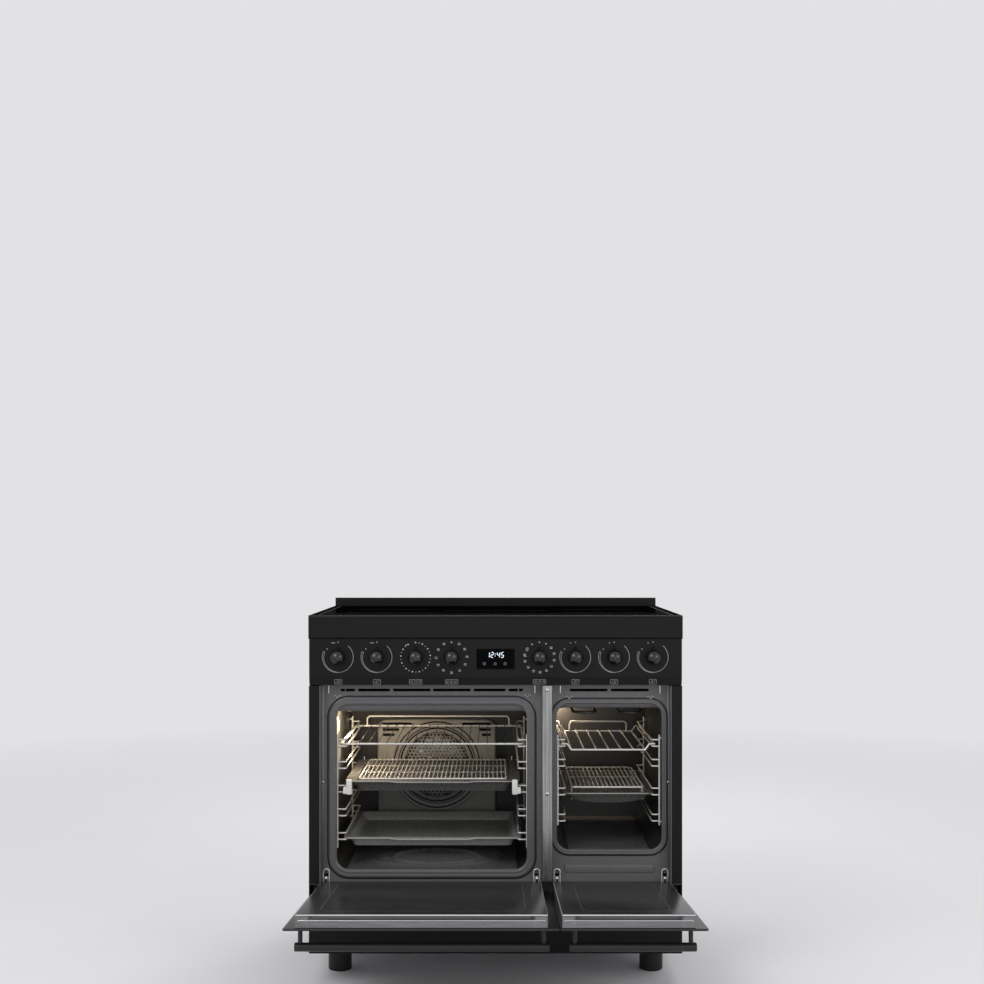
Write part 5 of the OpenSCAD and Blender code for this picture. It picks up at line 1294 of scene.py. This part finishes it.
def ink_dot(x, z, r, y=PANEL_FACE):
    """A filled circle."""
    return revolve([(r, -INK), (r, 0.1)], (x, y, z), 1, 14)


def ink_bar(x, z, w, h, turn=0.0, y=PANEL_FACE):
    """A filled rounded bar, turned by an angle."""
    uv = outline(w / 2, h / 2, min(w, h) * 0.3, 2)
    c, s = np.cos(np.radians(turn)), np.sin(np.radians(turn))
    uv = uv @ np.array([[c, s], [-s, c]])
    return loft([stand(uv, (x, z), depth, 1) for depth in (y - INK, y + 0.1)])


def ink_frame(x, z, half_w, half_h, line=0.8, r=1.6, y=PANEL_FACE):
    """A rounded outline of one line's width."""
    return border((x, z), (half_w, half_h), r, flat_band(-line, 0, y - INK, y + 0.1), 1, 4)


def around(x, r, degrees):
    """The place at a clock angle round a knob."""
    t = np.radians(degrees)
    return x + r * np.sin(t), KNOB_Z + r * np.cos(t)


# %% Rings of the hob knobs
hob_ring = []
for n in (0, 1, 5, 6, 7):
    x = KNOB_X[n]
    hob_ring.append(ink_arc(x, KNOB_Z, [35.7], [37.1], 41, 165))
    hob_ring.append(ink_arc(x, KNOB_Z, [35.7, 37.7], [37.1, 38.8], 165, 291))
    hob_ring.append(ink_arc(x, KNOB_Z, [35.5, 33.4], [36.7, 34.5], 165, 291))
    hob_ring.append(ink_arc(x, KNOB_Z, [33.4], [38.8], 290.4, 292.0, steps=4))
    hob_ring.append(ink_dot(*around(x, 36.2, 0), 1.5))
    hob_ring.append(ink_dot(*around(x, 33.0, -53), 1.6))
    px, pz = around(x, 36.5, -19)
    hob_ring.append(ink_bar(px, pz, 9.0, 2.0) if n < 2 else ink_dot(px, pz, 1.5))
piece("hob_knob_rings", hob_ring, ring_ink, "casing")


# %% Signs round the oven knobs
def oven_sign(x, z, kind):
    """A small frame with bars or a dot in it: heat from above, from below, from both, or a fan."""
    shapes = [ink_frame(x, z, 2.9, 2.5, 0.6, 0.8)]
    if kind % 4 in (0, 2):
        shapes.append(ink_bar(x, z + 1.2, 3.6, 0.8))
    if kind % 4 in (1, 2):
        shapes.append(ink_bar(x, z - 1.2, 3.6, 0.8))
    if kind % 4 == 3:
        shapes.append(ink_dot(x, z, 1.2))
    return shapes


x = KNOB_X[2]
oven_marks = [ink_dot(*around(x, 35.5, degrees), 1.0 if i % 2 else 1.7)
              for i, degrees in enumerate(np.arange(0, 331, 13.75))]
oven_marks.append(ink_bar(*around(x, 37, -38), 5.0, 1.4, 20))
x = KNOB_X[3]
for i, degrees in enumerate((0, 29, 58, 88, 118, 148, 180, 212, 240, 268, 300, 330)):
    oven_marks += [ink_dot(*around(x, 36, 0), 1.7)] if i == 0 else oven_sign(*around(x, 37, degrees), i)
x = KNOB_X[4]
for i, degrees in enumerate(np.arange(0, 331, 25.4)):
    px, pz = around(x, 36, degrees)
    oven_marks += [ink_dot(px, pz, 1.6)] if i in (0, 1, 13) else oven_sign(px, pz, i)
oven_marks += [ink_bar(*around(x, 34, degrees), 6.0, 1.2) for degrees in (-62, -86)]
piece("oven_knob_signs", oven_marks, white_ink, "casing")

# %% Framed signs on the leaning strip
LIP_TOP, LIP_Z = 743.0, 730.8


def leaned(shape):
    """The strip leans back by 5 mm over 20 mm, so each point moves by a quarter of its drop."""
    points = shape[0].copy()
    points[:, 1] += (LIP_TOP - points[:, 2]) * 0.25
    return points, shape[1]


signs = []
for n, x in enumerate(KNOB_X):
    double = n in (2, 3, 4)
    half = 15.5 if double else 9.2
    signs.append(ink_frame(x, LIP_Z, half, 6.0, 0.8, 1.8))
    for k in ((-1, 0, 1) if double else (0,)):
        middle = x + k * 9.6
        signs += [ink_frame(middle, LIP_Z, 3.4, 3.2, 0.6, 0.8),
                  ink_dot(middle + 1.0 - (n % 2) * 2.0, LIP_Z - 0.8 + (n % 3) * 0.8, 1.1)]
    if not double:
        signs += [ink_dot(x + 6.0, LIP_Z + 2.2, 0.9), ink_dot(x - 6.0, LIP_Z - 2.2, 0.9)]
piece("zone_signs", [leaned(s) for s in signs], ring_ink, "casing")

# %% [markdown]
# ## Clock
# The clock shows the time in lit bars behind black glass, with three touch keys below. Each digit is
# drawn from seven bars with pointed ends, as such displays have, leaning a little.

# %% Lit digits
CLOCK_Y = PANEL_FACE - 0.6
DIGIT_Z, DIGIT_HALF_W, DIGIT_HALF_H = 795.7, 2.9, 6.0
KEY_X = (-27, -1, 23)
SEGMENTS = {"1": "bc", "2": "abged", "4": "fgbc", "5": "afgcd"}
SEGMENT_PLACE = {"a": (0, 1, 0), "g": (0, 0, 0), "d": (0, -1, 0), "b": (1, 0.5, 1), "c": (1, -0.5, 1),
                 "f": (-1, 0.5, 1), "e": (-1, -0.5, 1)}  # across, up, and 1 for an upright bar


def clock_bar(x, z, upright_bar, w=5.4, h=6.0, t=1.5):
    """A six-sided bar with pointed ends, sheared by 0.08 of its height."""
    long = (h if upright_bar else w) / 2 - 0.25
    u = np.array([-long, -long + t / 2, long - t / 2, long, long - t / 2, -long + t / 2])
    v = np.array([0, t / 2, t / 2, 0, -t / 2, -t / 2])
    uv = np.stack([v, u] if upright_bar else [u, v], -1)
    rings = []
    for y in (CLOCK_Y - INK, CLOCK_Y + 0.1):
        points = stand(uv, (x, z), y, 1)
        points[:, 0] += (points[:, 2] - DIGIT_Z) * 0.08
        rings.append(points)
    return loft(rings)


digits = []
for digit, x in zip("1245", (-17.5, -8.0, 7.0, 16.5)):
    for name in SEGMENTS[digit]:
        dx, dz, tall = SEGMENT_PLACE[name]
        digits.append(clock_bar(x + dx * DIGIT_HALF_W, DIGIT_Z + dz * DIGIT_HALF_H, bool(tall)))
digits += [ink_dot(-0.4, 798.3, 0.9, CLOCK_Y), ink_dot(-0.8, 793.1, 0.9, CLOCK_Y)]
piece("clock_digits", digits, lit_digit, "casing")
keys = [ink_arc(x, 774.5, [2.6], [3.3], 20, 340, CLOCK_Y, 24) for x in KEY_X]
keys += [ink_bar(x, 776.6, 0.7, 3.4, 0, CLOCK_Y) for x in KEY_X]
piece("touch_key_signs", keys, ring_ink, "casing")
window_rim = border((0, 786), (46.5, 25.0), 3, [(-0.9, CLOCK_Y - 0.15), (0, CLOCK_Y - 0.15),
                    (0.3, PANEL_FACE + 0.2), (-0.9, PANEL_FACE + 0.2)], 1, 5)
piece("clock_window_rim", [window_rim], rubber_and_shade_line, "casing")

# %% [markdown]
# ## Cooking zones
# The hob glass is printed with thin lines: a cross for each zone. They are flat bars on the glass, and
# seen from the front they are only just there.

# %% Zone lines
GLASS_TOP = span("hob_glass")[1][2]


def zone_line(x0, x1, back0, back1, width):
    """A flat bar on the glass between two places, given by their distance from the apron."""
    start, end = np.array([x0, FRONT + back0]), np.array([x1, FRONT + back1])
    along = (end - start) / np.linalg.norm(end - start)
    across = np.array([-along[1], along[0]]) * width / 2
    flat = np.array([start + across, end + across, end - across, start - across])
    rings = [np.column_stack([flat, np.full(4, z)]) for z in (GLASS_TOP - 0.1, GLASS_TOP + 0.1)]
    return loft(rings)


WIDE, FINE = 3.0, 0.8
lines = [zone_line(-139, 136, 275, 275, WIDE), zone_line(-36, 31, 65, 65, WIDE)]
crossing = [zone_line(-2, -2, 205, 345, FINE)]
for s in (-1, 1):
    lines += [zone_line(s * 174, s * 361, 339, 339, WIDE), zone_line(s * 162, s * 376, 169, 169, WIDE)]
    crossing += [zone_line(s * 267, s * 267, *span_y, FINE) for span_y in ((95, 243), (275, 405))]
piece("cooking_zone_lines", lines, zone_ink, "casing")
piece("cooking_zone_crossings", crossing, faint_ink, "casing")
HOB_MIDDLE = (0, FRONT + 289)
rim_trim = border(HOB_MIDDLE, (428.2, 267.2), 4.2, flat_band(0, 0.9, GLASS_TOP - 1.4, GLASS_TOP + 0.15), 2, 5)
piece("glass_seal_line", [rim_trim], rubber_and_shade_line, "casing")


# %% Top of the rim and its front fold
def rim_ring(half_w, half_d, radius, z):
    """One rounded outline of the rim's top; the inner one hugs the glass and the outer one the edge."""
    return stand(outline(half_w, half_d, radius, 5), HOB_MIDDLE, z, 2)


RIM_TOP = 890.0
rim_rings = [rim_ring(429.4, 268.4, 5, RIM_TOP - 0.2), rim_ring(448.6, 287.2, 2, RIM_TOP - 0.2),
             rim_ring(448.4, 287.0, 2, RIM_TOP + 0.3), rim_ring(429.6, 268.6, 5, RIM_TOP + 0.3)]
piece("hob_rim_top", [loft(rim_rings, loop=True)], rim_black, "casing")
# The front fold is a bar in the lighter fold paint: a painted highlight along the apron's top edge.
fold = bar((-448, FRONT + 1.3, RIM_TOP - 0.9), (448, FRONT + 1.3, RIM_TOP - 0.9), 1.3, 12)
piece("hob_rim_fold_highlight", [fold], fold_highlight_paint, "casing")

# %% [markdown]
# ## Ends of the control panel
# The control panel is a long folded channel, and its two ends would show the parts inside. A small
# plate closes each one. It follows the channel's inside, with the leaning lower strip, and its outer
# edge is chamfered like a punched sheet's.

# %% Panel end plates
panel_low, panel_high = span("control_panel")
STRIP_LEAN, STRIP_HEIGHT = 5.0, 20.0
end_y0, end_y1 = panel_low[1] + 2.1, panel_high[1] - 0.2
end_z0, end_z1 = panel_low[2] + 2.1, panel_high[2] - 2.1
end_outline = np.array([(end_y0, end_z1), (end_y0, panel_low[2] + STRIP_HEIGHT), (end_y0 + STRIP_LEAN, end_z0),
                        (end_y1, end_z0), (end_y1, end_z1)])
end_middle = end_outline.mean(0)


def end_plate(x_in, x_out):
    """A plate 1.2 mm thick from x_in to x_out, its outer edge drawn in by 0.6 mm."""
    drawn_in = end_middle + (end_outline - end_middle) * (1 - 0.6 / 13)
    rows = [(x_in, end_outline), (x_out - np.sign(x_out) * 0.6, end_outline), (x_out, drawn_in)]
    rows.sort(key=lambda row: row[0])
    return loft(np.array([np.column_stack([np.full(len(yz), x), yz]) for x, yz in rows]))


end_plates = [end_plate(s * (panel_high[0] - 1.6), s * (panel_high[0] - 0.4)) for s in (-1, 1)]
piece("panel_end_plates", end_plates, black_steel, "casing")

# %% [markdown]
# ## Screws of the sides
# The sides are folded sheet, held along the bottom and down the rear edge by pan-head screws. Each
# head is one turned profile facing sideways. Small heads like these show how big the cooker is.

# %% Casing screws
SIDE_X = 448.5


def side_screw(y, z, outwards, r=3.6):
    """Pan head facing sideways: radius r cos a and height 0.36 r sin a, turned about X."""
    turn = np.linspace(0, np.pi / 2, 5)
    head = np.stack([r * np.cos(turn) + 0.02, outwards * 0.36 * r * np.sin(turn)], -1)
    return revolve(np.vstack([[(r, -0.3 * outwards)], head]), (outwards * SIDE_X, y, z), 0, 16)


casing_screws = [side_screw(y, 100, s) for s in (-1, 1) for y in (480, 240, 0)]
casing_screws += [side_screw(500, z, s) for s in (-1, 1) for z in (260, 430, 600, 770)]
piece("casing_screws", casing_screws, zinc_bright, "casing")
print("side screws:", len(casing_screws))
